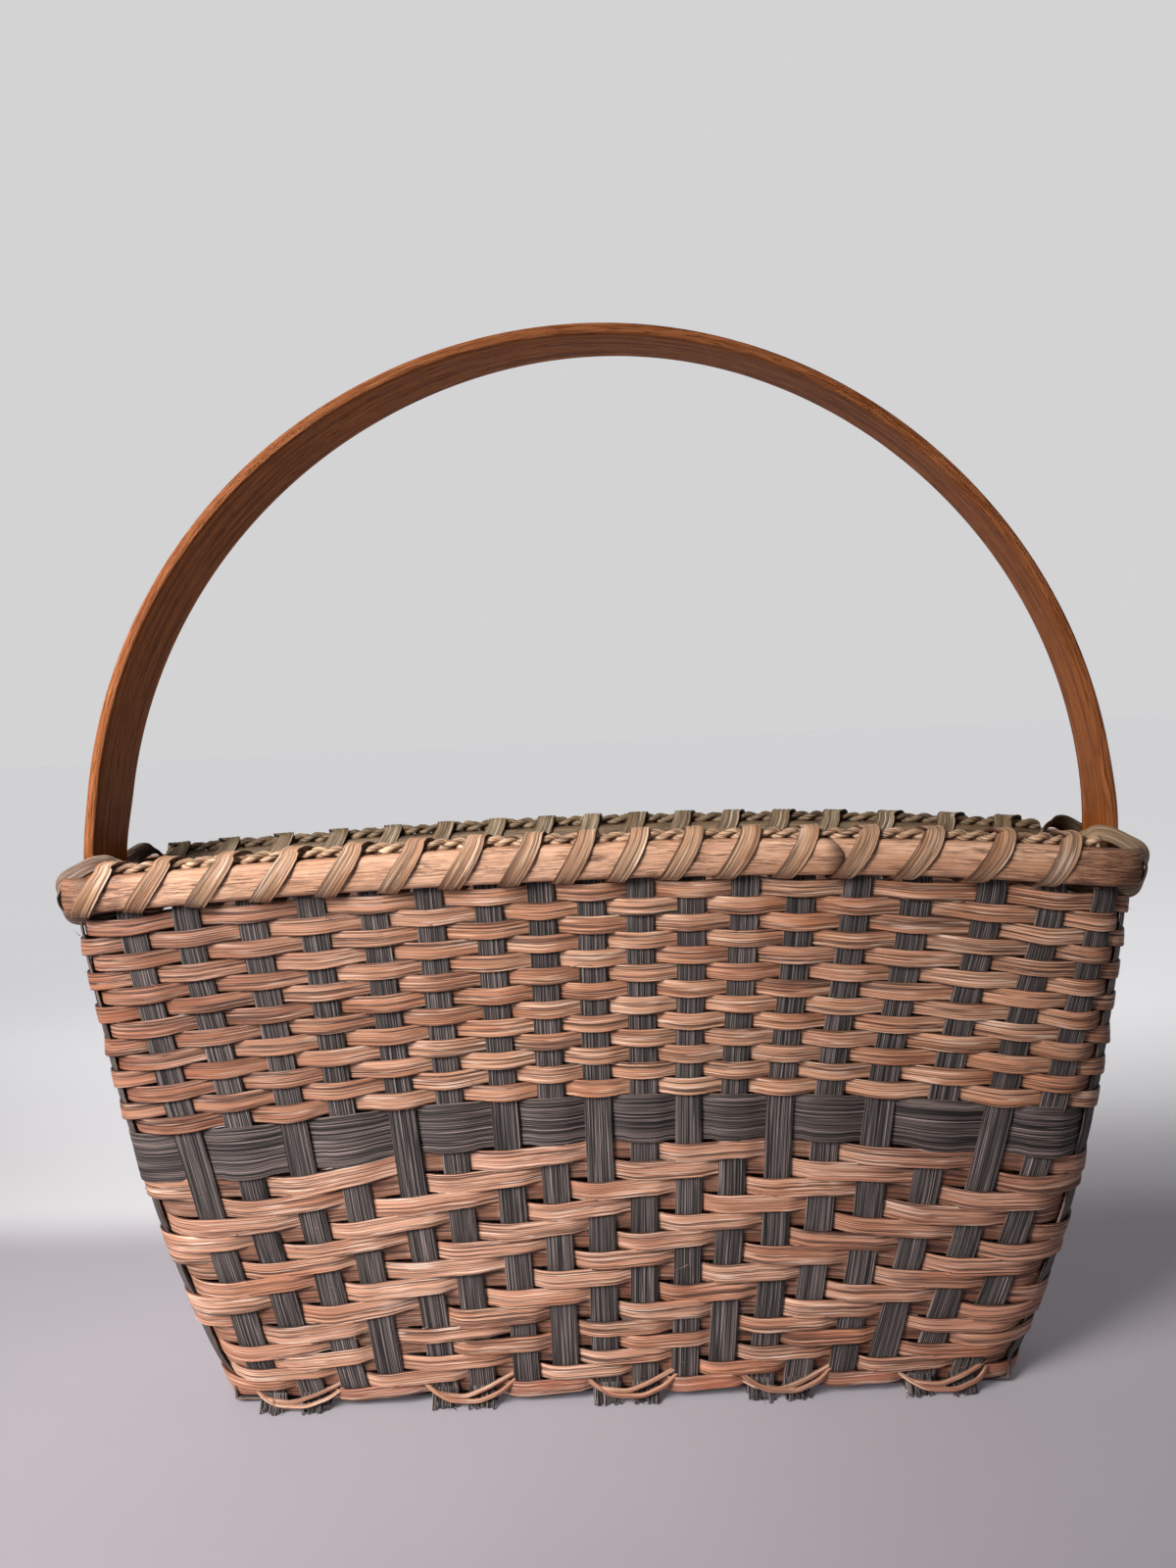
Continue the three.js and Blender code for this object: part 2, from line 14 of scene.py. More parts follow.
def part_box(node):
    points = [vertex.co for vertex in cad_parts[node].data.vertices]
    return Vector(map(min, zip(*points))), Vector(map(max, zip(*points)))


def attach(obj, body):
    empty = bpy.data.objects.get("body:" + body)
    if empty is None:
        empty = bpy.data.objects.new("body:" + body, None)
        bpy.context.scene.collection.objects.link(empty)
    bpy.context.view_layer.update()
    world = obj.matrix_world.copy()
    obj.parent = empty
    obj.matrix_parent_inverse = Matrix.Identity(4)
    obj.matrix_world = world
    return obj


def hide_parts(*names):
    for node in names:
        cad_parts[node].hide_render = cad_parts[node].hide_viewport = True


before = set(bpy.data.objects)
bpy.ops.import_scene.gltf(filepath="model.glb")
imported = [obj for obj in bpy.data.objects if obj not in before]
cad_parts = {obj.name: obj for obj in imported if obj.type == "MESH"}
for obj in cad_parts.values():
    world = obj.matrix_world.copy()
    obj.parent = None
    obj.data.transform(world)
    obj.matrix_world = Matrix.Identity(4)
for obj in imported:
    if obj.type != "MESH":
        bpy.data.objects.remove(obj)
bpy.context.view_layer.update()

MM = 0.001
ROOT = "root"

# Camera: a pinhole with the photograph's view
CAMERA_PLACE = (13.1, -427.2, 236.3)
CAMERA_YAW_DEGREES = 1.99
CAMERA_PITCH_DEGREES = 3.61
CAMERA_ROLL_DEGREES = -2.67
FOCAL_PIXELS = 1244.8
IMAGE_HEIGHT_PIXELS = 1600
SENSOR_HEIGHT = 36.0
CLIP_START_METRES = 0.01
CLIP_END_METRES = 50.0

# Stakes
STAKE_WIDTH = 9.2
STAKE_THICKNESS = 0.9
STAKE_LOOK_THICKNESS = 1.1
STAKE_RIDGE = 0.06
CROSS_STAKES = 18
LENGTH_STAKES = 4
STAKE_TOP_GAP = 1.0
STAKE_BEND_RADIUS = 1.2
STAKE_SWAY = 0.16
SWAY_SOFTNESS = 2.0
SWAY_STEPS = 5
STAKE_STEP = 1.6
BEND_STEPS = 3
BASE_STATIONS = 12
BASE_STEP_LENGTH = 3.0

# Rows from the foot up: name, how many, height of the row, width of the reed in it
FIT = 0.3
ROW_GAP = 0.5
ROW_KINDS = [
    ("foot_reed", 5, 4.6, 5.3),
    ("lower_reed", 10, 5.7, 6.5),
    ("dark_band", 1, 16.0, 16.4),
    ("upper_reed", 13, 5.0, 5.85),
]
TWILL_STARTS = [1, 2, 3, 0, 3, 0, 1, 2, 3, 0, 1, 2, 3, 0, 1]
REED_THICKNESS = 1.05
REED_STEP = 1.9
REED_RIDGE = 0.05
WAY_THROUGH_SQUEEZE = 0.055

# Ends of a row: kept inside a stake's edges, thinned, and laid one over the other. From row to row
# they move on by a stride, counted in the back stakes that can hide them
END_MARGIN = 0.6
TIP_LENGTH = 4.0
TIP_SHARE = 0.35
OVERLAP_START = 1.0
OVERLAP_STEP = 3.0
OVERLAP_GAP = 0.08
END_STRIDE = 5

# How far a row's middle stands off at a stake's edge and middle and in a float, and the whole span
EDGE_STANDOFF = 1.07
MIDDLE_STANDOFF = 1.26
FLOAT_STANDOFF = 1.3
SHOW_SPAN = 2.4

# How far a row sinks or climbs where it passes each stake, and its tilt there in radians
PLAIN_SAG = 0.5
TWILL_SAGS = {"first over": -0.75, "second over": 0.15, "first under": 0.55, "second under": 0.05}
CROSSING_TILT = 0.05
BAND_CALM = 0.3

# Unevenness at each stake, and the lengths that round off standoffs, sags and tilts
BULGE_SPREAD = 0.08
SAG_SPREAD = 0.14
TILT_SPREAD = 0.07
KNOT_SOFTNESS = (1.7, 3.0, 3.0)

# Slow waves along a strip: their size and the length of a hump. Those of a width are shares of it
WIDTH_WAVES = {"reed": (0.02, 22.0), "stake": (0.012, 40.0), "rim": (0.008, 60.0), "lash": (0.03, 25.0)}
STAKE_WAVE = (0.22, 45.0)
FILLER_HEIGHT_WAVE = (0.15, 25.0)
FILLER_TURN_WAVE = (0.5, 20.0)
FILLER_GIRTH_WAVE = (0.12, 7.0)

# Walls: half sizes at the foot, curves, and corners that turn tighter between two heights
BASE_HALF_LENGTH = 137.0
BASE_HALF_DEPTH = 23.8
FLARE_CURVE_SHARE = 0.6
LEAN_CURVE_SHARE = 0.14
FOOT_DRAW_SHARE = 0.97
LOW_CORNER_RADIUS = 20.0
HIGH_CORNER_RADIUS = 14.0
CORNER_TURN = (120.0, 185.0)
FEWEST_CORNER_STEPS = 5

# Heights over which the stakes begin to turn with the corners
FOOT_TURN_START = 2.0
FOOT_TURN_LENGTH = 8.0

# Rims, filler, lashing and twining
RIM_HEIGHT = 12.2
RIM_THICKNESS = 4.5
RIM_RIDGE = 0.08
RIM_CORNER_RADIUS = 8.0
RIM_EASE = 0.55
SCARF_PLACE = 77.0
SCARF_LENGTH = 30.0
SCARF_RISE = 0.5
SCARF_BOW = 3.5
FILLER_STRAND_RADIUS = 1.1
FILLER_TWIST_RADIUS = 0.95
FILLER_PITCH = 13.0
FILLER_RISE = 1.3
LASH_WIDTH = 6.5
LASH_THICKNESS = 0.8
LASH_SPACE = 0.12
LASH_DRIFT = 0.02
LASH_FAN = 0.028
TWINE_RADIUS = 0.85

# Rows sit lower at the ends: how far, and at what share of the height the most, left and right
LEFT_DROOP = 10.0
LEFT_PEAK_SHARE = 0.58
RIGHT_DROOP = 12.5
RIGHT_PEAK_SHARE = 0.72
LEFT_RIM_SINK = 5.0
RIGHT_RIM_SINK = 9.7
LEG_SINK = 8.24

# Handle
HANDLE_WIDTH = 26.0
HANDLE_THICKNESS = 3.9
HANDLE_ARC_RISE = 15.0
HANDLE_BULGE = 1.5
HANDLE_SHIFT = 0.6
HANDLE_TWIST_DEGREES = 3.5
TAIL_LENGTH = 62.0
TAIL_WIDTH = 14.0
TAIL_THICKNESS = 2.0

# Seeds of the random draws, counted on from these, and of the grain where it has its own
SEEDS = {
    "rows": 100, "cross_stakes": 200, "length_stakes": 240, "rims": 300, "filler": 350, "lashing": 360,
    "corner_wraps": 381, "leg_wraps": 387, "twining": 390, "reed_hairs": 500, "frays": 600,
    "stubs": 640, "dark_hairs": 800,
}
GRAIN_SEEDS = {"rows": 1, "stubs": 30, "rims": 40, "filler": 60, "handle": 420}

# Levels of the strips that cross in the base, and the inner face of the weavers
LOW_LEVEL = STAKE_THICKNESS / 2
MIDDLE_LEVEL = LOW_LEVEL + STAKE_THICKNESS + FIT
HIGH_LEVEL = MIDDLE_LEVEL + STAKE_THICKNESS + FIT
WEAVER_INNER = STAKE_THICKNESS / 2 + FIT


def low_corner(node):
    """The lowest corner of a frame node, in millimetres."""
    return np.array(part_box(node)[0]) / MM


def high_corner(node):
    """The highest corner of a frame node, in millimetres."""
    return np.array(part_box(node)[1]) / MM


def stack_rows():
    """Every row with its name, kind, reed width, and the heights of its middle and top."""
    rows = []
    bottom = HIGH_LEVEL + STAKE_THICKNESS / 2 + FIT
    for kind, count, height, width in ROW_KINDS:
        for i in range(1, count + 1):
            name = kind if count == 1 else f"{kind}_{i}"
            top = bottom + height
            middle = (bottom + top) / 2
            rows.append({"name": name, "kind": kind, "width": width, "middle": middle, "top": top})
            bottom += height + ROW_GAP
    return rows


ROWS = stack_rows()
WOVEN_TOP = ROWS[-1]["top"]
RIM_BOTTOM = WOVEN_TOP + LASH_THICKNESS + 2 * FIT
RIM_MIDDLE = RIM_BOTTOM + RIM_HEIGHT / 2
RIM_TOP = RIM_BOTTOM + RIM_HEIGHT
DROOP_START = ROWS[0]["top"]
RIM_HALF_LENGTH = high_corner("outer_rim")[0] - RIM_THICKNESS - WEAVER_INNER
RIM_HALF_DEPTH = high_corner("outer_rim")[1] - RIM_THICKNESS - WEAVER_INNER
HANDLE_OUTER = high_corner("handle")[0]


# The walls, counterclockwise, with their directions along and out
FRONT, RIGHT, BACK, LEFT = range(4)
WALL_ALONG = np.array([(1, 0), (0, 1), (-1, 0), (0, -1)], float)
WALL_OUT = np.array([(0, -1), (1, 0), (0, 1), (-1, 0)], float)


def wall_share(height):
    """A height as a share of the woven wall's."""
    return np.clip(np.asarray(height, float) / WOVEN_TOP, 0, 1)


def flare(share):
    """How much of its growth the wall has reached at a share of its height."""
    return share * (1 + FLARE_CURVE_SHARE * (1 - share))


def half_length(height):
    return BASE_HALF_LENGTH + (RIM_HALF_LENGTH - BASE_HALF_LENGTH) * flare(wall_share(height))


def half_depth(height):
    return BASE_HALF_DEPTH + (RIM_HALF_DEPTH - BASE_HALF_DEPTH) * flare(wall_share(height))


def growth(span, height):
    """How steeply a half size grows at a height, from its whole growth."""
    return span * (1 + FLARE_CURVE_SHARE * (1 - 2 * wall_share(height))) / WOVEN_TOP


def droop(height, depth, peak_share):
    """How far a row has sunk at one end of the basket."""
    peak = DROOP_START + (RIM_TOP - DROOP_START) * peak_share
    way = np.clip((np.asarray(height, float) - DROOP_START) / (peak - DROOP_START), 0, 2)
    return depth * (1 - (way - 1) ** 2)


def stake_ends(node, axis, pivot):
    """Where a stake's middle stands at the foot and at the rim, read from its box."""
    low = low_corner(node)[axis] + STAKE_WIDTH / 2
    high = high_corner(node)[axis] - STAKE_WIDTH / 2
    return (high, low) if (low + high) / 2 < pivot else (low, high)


# The cross stakes lean away from this place
CROSS_PIVOT = -17.0
CROSS_ENDS = [stake_ends(f"cross_stake_{i + 1}", 0, CROSS_PIVOT) for i in range(CROSS_STAKES)]
LENGTH_ENDS = [stake_ends(f"length_stake_{j + 1}", 1, 0) for j in range(LENGTH_STAKES)]


def cross_x(index, height):
    foot, rim = CROSS_ENDS[index]
    foot = foot * FOOT_DRAW_SHARE
    share = wall_share(height)
    return foot + (rim - foot) * share * (1 + LEAN_CURVE_SHARE * (1 - share))


def length_y(index, height):
    foot, rim = LENGTH_ENDS[index]
    return foot + (rim - foot) * flare(wall_share(height))


def list_uprights():
    """Each upright in a row's order: its wall, its stake, and the sign of the wall's direction."""
    uprights = [(FRONT, i, 1) for i in range(CROSS_STAKES)]
    uprights += [(RIGHT, j, 1) for j in range(LENGTH_STAKES)]
    uprights += [(BACK, i, -1) for i in reversed(range(CROSS_STAKES))]
    uprights += [(LEFT, j, -1) for j in reversed(range(LENGTH_STAKES))]
    return uprights


UPRIGHTS = list_uprights()


def upright_place(upright, height):
    """Where an upright stands at a height, along its wall's own direction."""
    wall, index, sign = upright
    return sign * (cross_x(index, height) if wall in (FRONT, BACK) else length_y(index, height))


def stake_shows(row_index, number):
    """True where the stake lies outside the row and hides it."""
    if row_index < len(TWILL_STARTS):
        return (number - TWILL_STARTS[row_index]) % 4 < 2
    return (number + row_index - len(TWILL_STARTS)) % 2 == 1


class Ring:
    """A level line round the basket: places, directions out and lengths, counterclockwise."""

    def __init__(self, length, depth, radius, step):
        self.half = [length - radius, depth - radius] * 2
        self.starts = []
        arc = math.pi / 2 * radius
        places, outs, distances = [], [], []
        done = 0.0
        for wall in range(4):
            self.starts.append(done)
            along, out = WALL_ALONG[wall], WALL_OUT[wall]
            reach = (depth, length)[wall % 2]
            straight = 2 * self.half[wall]
            for s in np.linspace(0, straight, max(int(straight / step), 2), endpoint=False):
                places.append(along * (s - self.half[wall]) + out * reach)
                outs.append(out)
                distances.append(done + s)
            done += straight
            centre = along * self.half[wall] + out * (reach - radius)
            arc_steps = max(int(arc / step), FEWEST_CORNER_STEPS)
            for s in np.linspace(0, arc, arc_steps, endpoint=False):
                angle = s / radius
                turned = out * math.cos(angle) + along * math.sin(angle)
                places.append(centre + turned * radius)
                outs.append(turned)
                distances.append(done + s)
            done += arc
        self.total = done
        self.place = np.array(places)
        self.out = np.array(outs)
        self.distance = np.array(distances)

    def distance_of(self, wall, along):
        """How far round the ring a place on a wall lies."""
        return self.starts[wall] + self.half[wall] + along

    def upright_distance(self, upright, height):
        """How far round the ring an upright stands."""
        return self.distance_of(upright[0], upright_place(upright, height))

    def at(self, distances):
        """Places and directions out at any distances, going round more than once."""
        wrapped = np.mod(distances, self.total)
        columns = [self.place[:, 0], self.place[:, 1], self.out[:, 0], self.out[:, 1]]
        found = [np.interp(wrapped, self.distance, c, period=self.total) for c in columns]
        return np.stack(found[:2], 1), np.stack(found[2:], 1)


# Directions and smooth changes

UP = np.array([0.0, 0.0, 1.0])


def unit(vectors):
    return vectors / np.maximum(np.linalg.norm(vectors, axis=-1, keepdims=True), 1e-12)


def smooth_step(share):
    share = np.clip(share, 0, 1)
    return share * share * (3 - 2 * share)


def share_past(value, start, length):
    """How much of a stretch a value has passed, from 0 to 1."""
    return np.clip((value - start) / length, 0, 1)


def lifted(flat, height):
    """Places or directions in plan with a height each, or one height for all."""
    return np.column_stack([flat, np.broadcast_to(height, len(flat))])


def rotate_pair(first, second, angle):
    """Two crossed directions after a turn of the first towards the second."""
    return first * np.cos(angle) + second * np.sin(angle), second * np.cos(angle) - first * np.sin(angle)


def sideways(out):
    """Level directions along the wall, from its directions out."""
    return np.column_stack([-out[:, 1], out[:, 0], np.zeros(len(out))])


def corner_radius(height):
    """The radius of the basket's corners in plan, which are tighter at the rim."""
    share = (np.asarray(height, float) - CORNER_TURN[0]) / (CORNER_TURN[1] - CORNER_TURN[0])
    return LOW_CORNER_RADIUS + (HIGH_CORNER_RADIUS - LOW_CORNER_RADIUS) * smooth_step(share)


def row_ring(height):
    """The level line of the wall at one height."""
    sizes = [float(size(height)) for size in (half_length, half_depth, corner_radius)]
    return Ring(*sizes, REED_STEP)


def wall_point(wall, along, height):
    """Places and directions out on a wall, which turn with its rounded corners."""
    radius = corner_radius(height)
    reach, half = half_depth(height), half_length(height)
    if wall in (RIGHT, LEFT):
        reach, half = half, reach
    straight = half - radius
    sign = np.sign(along)
    angle = np.clip(np.abs(along) - straight, 0, None) / radius
    across = sign * (np.minimum(np.abs(along), straight) + radius * np.sin(angle))
    deep = reach - radius * (1 - np.cos(angle))
    place = np.outer(across, WALL_ALONG[wall]) + np.outer(deep, WALL_OUT[wall])
    turn = sign * angle * share_past(height, FOOT_TURN_START, FOOT_TURN_LENGTH)
    out = np.outer(np.cos(turn), WALL_OUT[wall]) + np.outer(np.sin(turn), WALL_ALONG[wall])
    return place, out


def lean_up(out, height):
    """The direction up the flared wall, above each place with its direction out."""
    lengthwise = growth(RIM_HALF_LENGTH - BASE_HALF_LENGTH, height)
    deepwise = growth(RIM_HALF_DEPTH - BASE_HALF_DEPTH, height)
    return np.column_stack([out[:, 0] * lengthwise, out[:, 1] * deepwise, np.ones(len(out))])


def sunk(x, height):
    """The real height of a place on a row that droops towards its ends."""
    share = np.clip(np.abs(x) / half_length(height), 0, 1)
    left = droop(height, LEFT_DROOP, LEFT_PEAK_SHARE)
    right = droop(height, RIGHT_DROOP, RIGHT_PEAK_SHARE)
    return height - np.where(x < 0, left, right) * share ** 2


SMOOTHING_STEPS = 9
SMOOTHING_SPREAD = 1.1
SPARE_HUMPS = 4


def smooth_round(distances, knots, values, total, width):
    """Values through knots on a ring, rounded off over a width."""
    order = np.argsort(np.mod(knots, total))
    knots = np.mod(knots, total)[order]
    values = np.asarray(values, float)[order]
    steps = np.linspace(-width, width, SMOOTHING_STEPS)
    weights = 1 + np.cos(np.pi * steps / (width * SMOOTHING_SPREAD))
    result = np.zeros(len(distances))
    for step, weight in zip(steps, weights):
        result += weight * np.interp(np.mod(distances + step, total), knots, values, period=total)
    return result / weights.sum()


def slow_noise(rng, distances, length, rows):
    """Smooth noise along a strip, one line for each row, about one hump per length."""
    count = int((distances[-1] - distances[0]) / length) + SPARE_HUMPS
    spots = np.linspace(distances[0] - length, distances[-1] + length, count)
    lines = [np.interp(distances, spots, rng.normal(0, 1, count)) for _ in range(rows)]
    return np.stack(lines, 1)


def slow_wave(rng, distances, size, length):
    """One line of smooth noise of a size."""
    return size * slow_noise(rng, distances, length, 1)[:, 0]


# Hand-made unevenness: soft shifts of the whole basket, each with a middle, a reach and a shift in X and Z

SHIFTS = [
    ((75, 105), (62, 62), (-2.4, 0.0)),
    ((135, 165), (45, 45), (2.2, 0.0)),
    ((185, 150), (45, 50), (-1.2, 0.0)),
    ((-135, 160), (50, 45), (-1.6, 0.0)),
    ((-105, 82), (60, 38), (0.0, -2.2)),
    ((-125, 55), (80, 50), (0.0, -2.0)),
    ((-100, 20), (45, 30), (0.0, -2.2)),
    ((-40, 72), (60, 30), (0.0, -1.3)),
    ((-105, 74), (70, 28), (0.0, -1.2)),
    ((-150, 115), (40, 42), (-1.5, 0.0)),
    ((150, 160), (60, 36), (0.0, -1.3)),
    ((-132, 22), (30, 20), (0.0, -1.8)),
    ((45, 50), (50, 25), (0.0, 1.0)),
    ((125, 62), (62, 60), (0.0, -2.4)),
]
GROUND_CLEARANCE = 8.0


def settle(points):
    """Points after the soft shifts, none of them under the floor."""
    points = points.copy()
    x, z = points[:, 0].copy(), points[:, 2].copy()
    clear = share_past(z, 0, GROUND_CLEARANCE)
    for middle, reach, shift in SHIFTS:
        distance = np.hypot((x - middle[0]) / reach[0], (z - middle[1]) / reach[1])
        share = np.where(distance < 1, np.cos(np.clip(distance, 0, 1) * math.pi / 2) ** 2, 0)
        points[:, 0] += share * shift[0]
        points[:, 2] += share * shift[1] * clear
    points[:, 2] = np.maximum(points[:, 2], 0)
    return points


# Meshes

MM_PER_CM = 10
GRAIN_SHIFTS = (7.31, 1.93)


def add_object(name, data):
    """A new object in the scene."""
    thing = bpy.data.objects.new(name, data)
    bpy.context.scene.collection.objects.link(thing)
    return thing


class Solid:
    """Points, faces and two coordinate sets of one mesh, gathered strip by strip."""

    def __init__(self):
        self.verts, self.faces, self.grains, self.tones = [], [], [], []

    def strip(self, sections, along, girth, seed, tone=None, show=None):
        """Adds a closed strip through sections of points.

        Grain coordinates are in centimetres, along the strip and round its section. Tone has a
        value for each point of a section, and show a value for each section.
        """
        count, sides, _ = sections.shape
        first = len(self.verts)
        self.verts += sections.reshape(-1, 3).tolist()
        tone = np.zeros(sides) if tone is None else tone
        show = np.ones(count) if show is None else show
        u = along / MM_PER_CM + seed * GRAIN_SHIFTS[0]
        v = girth / MM_PER_CM + seed * GRAIN_SHIFTS[1]
        for i in range(count - 1):
            here = first + i * sides
            ahead = here + sides
            for k in range(sides):
                n = (k + 1) % sides
                self.faces.append((here + k, here + n, ahead + n, ahead + k))
                self.grains += [(u[i], v[k]), (u[i], v[k + 1]), (u[i + 1], v[k + 1]), (u[i + 1], v[k])]
                self.tones += [(tone[k], show[i]), (tone[n], show[i])]
                self.tones += [(tone[n], show[i + 1]), (tone[k], show[i + 1])]
        for i, order in ((0, range(sides - 1, -1, -1)), (count - 1, range(sides))):
            self.faces.append(tuple(first + i * sides + k for k in order))
            self.grains += [(u[i], v[k]) for k in order]
            self.tones += [(1.0, show[i])] * sides

    def finish(self, name, material, slot_name, replaced=()):
        """The mesh object, in metres, riding on the root."""
        mesh = bpy.data.meshes.new(name)
        mesh.from_pydata((settle(np.array(self.verts)) * MM).tolist(), [], self.faces)
        for layer_name, values in (("grain", self.grains), ("tone", self.tones)):
            layer = mesh.uv_layers.new(name=layer_name)
            layer.data.foreach_set("uv", np.array(values, np.float32).ravel())
        mesh.polygons.foreach_set("use_smooth", [True] * len(mesh.polygons))
        mesh.materials.append(material)
        mesh.validate()
        mesh.update()
        piece = add_object(name, mesh)
        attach(piece, ROOT)
        if replaced:
            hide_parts(*replaced)


def running_length(points):
    return np.concatenate([[0], np.cumsum(np.linalg.norm(np.diff(points, axis=0), axis=1))])


def strip_sections(centre, across, out, width, thickness, profile, ridges=0):
    """Sections of a flat strip. A profile holds shares of the width and the thickness."""
    count = len(centre)
    a = np.outer(np.broadcast_to(width, count), profile[:, 0])
    b = np.outer(np.broadcast_to(thickness, count), profile[:, 1]) + ridges
    return centre[:, None] + across[:, None] * a[..., None] + out[:, None] * b[..., None]


def girth_of(profile, width, thickness):
    """Distance round a profile, starting at its first point."""
    return running_length(np.vstack([profile, profile[:1]]) * (width, thickness))


# The section of a flat strip, in shares of its width and thickness
FACE_START = 0.1
BACK_START = -0.4
BACK_HALF_WIDTH = 0.47
BACK_POINTS = 4
EDGE_HEIGHT = 0.05
EDGE_CROWDING = 0.8
# Tone of a strip's back, which the materials turn into painted shade on its inner face
BACK_PAINTED_SHADE = 0.92

# Ridges on its face: how much of their size stays the same and how much changes along the strip
STEADY_RIDGES = 0.6
CHANGING_RIDGES = 0.5
RIDGE_CHANGE_LENGTH = 30.0


def on_face(profile):
    """1 for the points of a profile on the strip's face, and 0 for the others."""
    return (profile[:, 1] > FACE_START) * 1.0


def edge_tone(profile):
    """How near each point of a profile is to an edge of the strip, from 0 to 1, or the painted
    shade of its back.
    """
    return np.where(profile[:, 1] < BACK_START, BACK_PAINTED_SHADE, np.abs(2 * profile[:, 0]) ** 2)


def flat_profile(points, crown):
    """A strip's section: a crowned face with rounded edges, and a nearly flat back."""
    across = -np.cos(np.linspace(0, math.pi, points))
    across = np.sign(across) * np.abs(across) ** EDGE_CROWDING / 2
    face = 0.5 - crown * (1 - np.sqrt(np.maximum(1 - (2 * across) ** 2, 0)))
    face[0] = face[-1] = EDGE_HEIGHT
    back = np.linspace(BACK_HALF_WIDTH, -BACK_HALF_WIDTH, BACK_POINTS)
    return np.vstack([np.stack([across, face], 1), np.stack([back, np.full(BACK_POINTS, -0.5)], 1)])


def ridge_heights(rng, distances, profile, size):
    """Small lengthwise ridges on the face of a strip, slowly changing along it."""
    steady = rng.normal(0, 1, len(profile))
    changing = slow_noise(rng, distances, RIDGE_CHANGE_LENGTH, len(profile))
    return (steady * STEADY_RIDGES + changing * CHANGING_RIDGES) * on_face(profile) * size


STEEP = 0.9


def tube_sections(line, angles, radius):
    """Sections of a strand, with an angle and a radius for each point of each section."""
    tangent = unit(np.gradient(line, axis=0))
    level = np.tile(UP, (len(line), 1))
    level[np.abs(tangent[:, 2]) > STEEP] = (0.0, 1.0, 0.0)
    side = unit(np.cross(tangent, level))
    top = np.cross(side, tangent)
    return (line[:, None] + side[:, None] * (np.cos(angles) * radius)[..., None]
            + top[:, None] * (np.sin(angles) * radius)[..., None])


def add_tube(solid, line, radius, sides, seed):
    """A round strand along a line, with a radius that may change along it."""
    angles = np.linspace(0, 2 * math.pi, sides, endpoint=False)
    size = np.broadcast_to(radius, len(line))
    girth = np.linspace(0, 2 * math.pi * float(np.max(size)), sides + 1)
    solid.strip(tube_sections(line, angles, size[:, None]), running_length(line), girth, seed)


# Materials

class Nodes:
    """A small helper that fills the node tree of a new material or world."""

    def __init__(self, owner):
        owner.use_nodes = True
        self.owner = owner
        self.tree = owner.node_tree
        self.tree.nodes.clear()

    def join(self, value, socket):
        if isinstance(value, bpy.types.NodeSocket):
            self.tree.links.new(value, socket)
        elif isinstance(value, tuple) and len(socket.default_value) == 4:
            socket.default_value = (*value, 1)
        else:
            socket.default_value = value

    def add(self, kind, inputs=(), **settings):
        node = self.tree.nodes.new(kind)
        for key, value in settings.items():
            setattr(node, key, value)
        for key, value in dict(inputs).items():
            self.join(value, node.inputs[key])
        return node

    def grain(self, along, across, offset=0.0):
        """Grain coordinates, in which one unit is a streak's length and width in centimetres."""
        uv = self.add("ShaderNodeUVMap", uv_map="grain").outputs[0]
        return self.add("ShaderNodeMapping", {
            "Vector": uv, "Location": (offset, offset, offset), "Scale": (1 / along, 1 / across, 1),
        }).outputs[0]

    def tones(self):
        """The nearness to an edge, and how far out of the weave the place lies."""
        uv = self.add("ShaderNodeUVMap", uv_map="tone").outputs[0]
        split = self.add("ShaderNodeSeparateXYZ", {"Vector": uv})
        return split.outputs[0], split.outputs[1]

    def noise(self, vector, scale=1.0, detail=3.0, roughness=0.55):
        return self.add("ShaderNodeTexNoise", {
            "Vector": vector, "Scale": scale, "Detail": detail, "Roughness": roughness,
        }).outputs["Fac"]

    def ramp(self, value, stops):
        node = self.add("ShaderNodeValToRGB", {"Fac": value})
        ramp = node.color_ramp
        while len(ramp.elements) < len(stops):
            ramp.elements.new(0.5)
        for element, (place, colour) in zip(ramp.elements, stops):
            element.position = place
            element.color = (*colour, 1) if isinstance(colour, tuple) else (colour, colour, colour, 1)
        return node.outputs["Color"]

    def blend(self, mode, amount, first, second):
        node = self.add("ShaderNodeMix", data_type="RGBA", blend_type=mode)
        self.join(amount, node.inputs[0])
        self.join(first, node.inputs[6])
        self.join(second, node.inputs[7])
        return node.outputs[2]

    def maths(self, operation, first, second):
        node = self.add("ShaderNodeMath", operation=operation)
        self.join(first, node.inputs[0])
        self.join(second, node.inputs[1])
        return node.outputs[0]

    def axis(self, space, number):
        """One coordinate of each place in a space, with 0 for X and 1 for Y."""
        place = self.add("ShaderNodeTexCoord").outputs[space]
        return self.add("ShaderNodeSeparateXYZ", {"Vector": place}).outputs[number]

    def fade(self, value, start, end, low=0.0, high=1.0):
        """A value that goes smoothly from low to high while another goes from start to end."""
        return self.add("ShaderNodeMapRange", {
            "Value": value, "From Min": start, "From Max": end, "To Min": low, "To Max": high,
        }, interpolation_type="SMOOTHSTEP").outputs[0]

    def finish(self, colour, roughness, bumps, specular=0.5, glow=None):
        """Ends in a principled shader. Bumps are pairs of a height and its depth in millimetres."""
        surface = {"Base Color": colour, "Roughness": roughness, "Specular IOR Level": specular}
        normal = {}
        for height, depth in bumps:
            inputs = {"Height": height, "Strength": 1.0, "Distance": depth * MM, **normal}
            normal = {"Normal": self.add("ShaderNodeBump", inputs).outputs[0]}
        if glow is not None:
            surface.update({"Emission Strength": 1.0, "Emission Color": glow})
        shader = self.add("ShaderNodeBsdfPrincipled", {**surface, **normal})
        self.add("ShaderNodeOutputMaterial", {"Surface": shader.outputs[0]})
        return self.owner


def between(first, second, share):
    return tuple(a + (b - a) * share for a, b in zip(first, second))
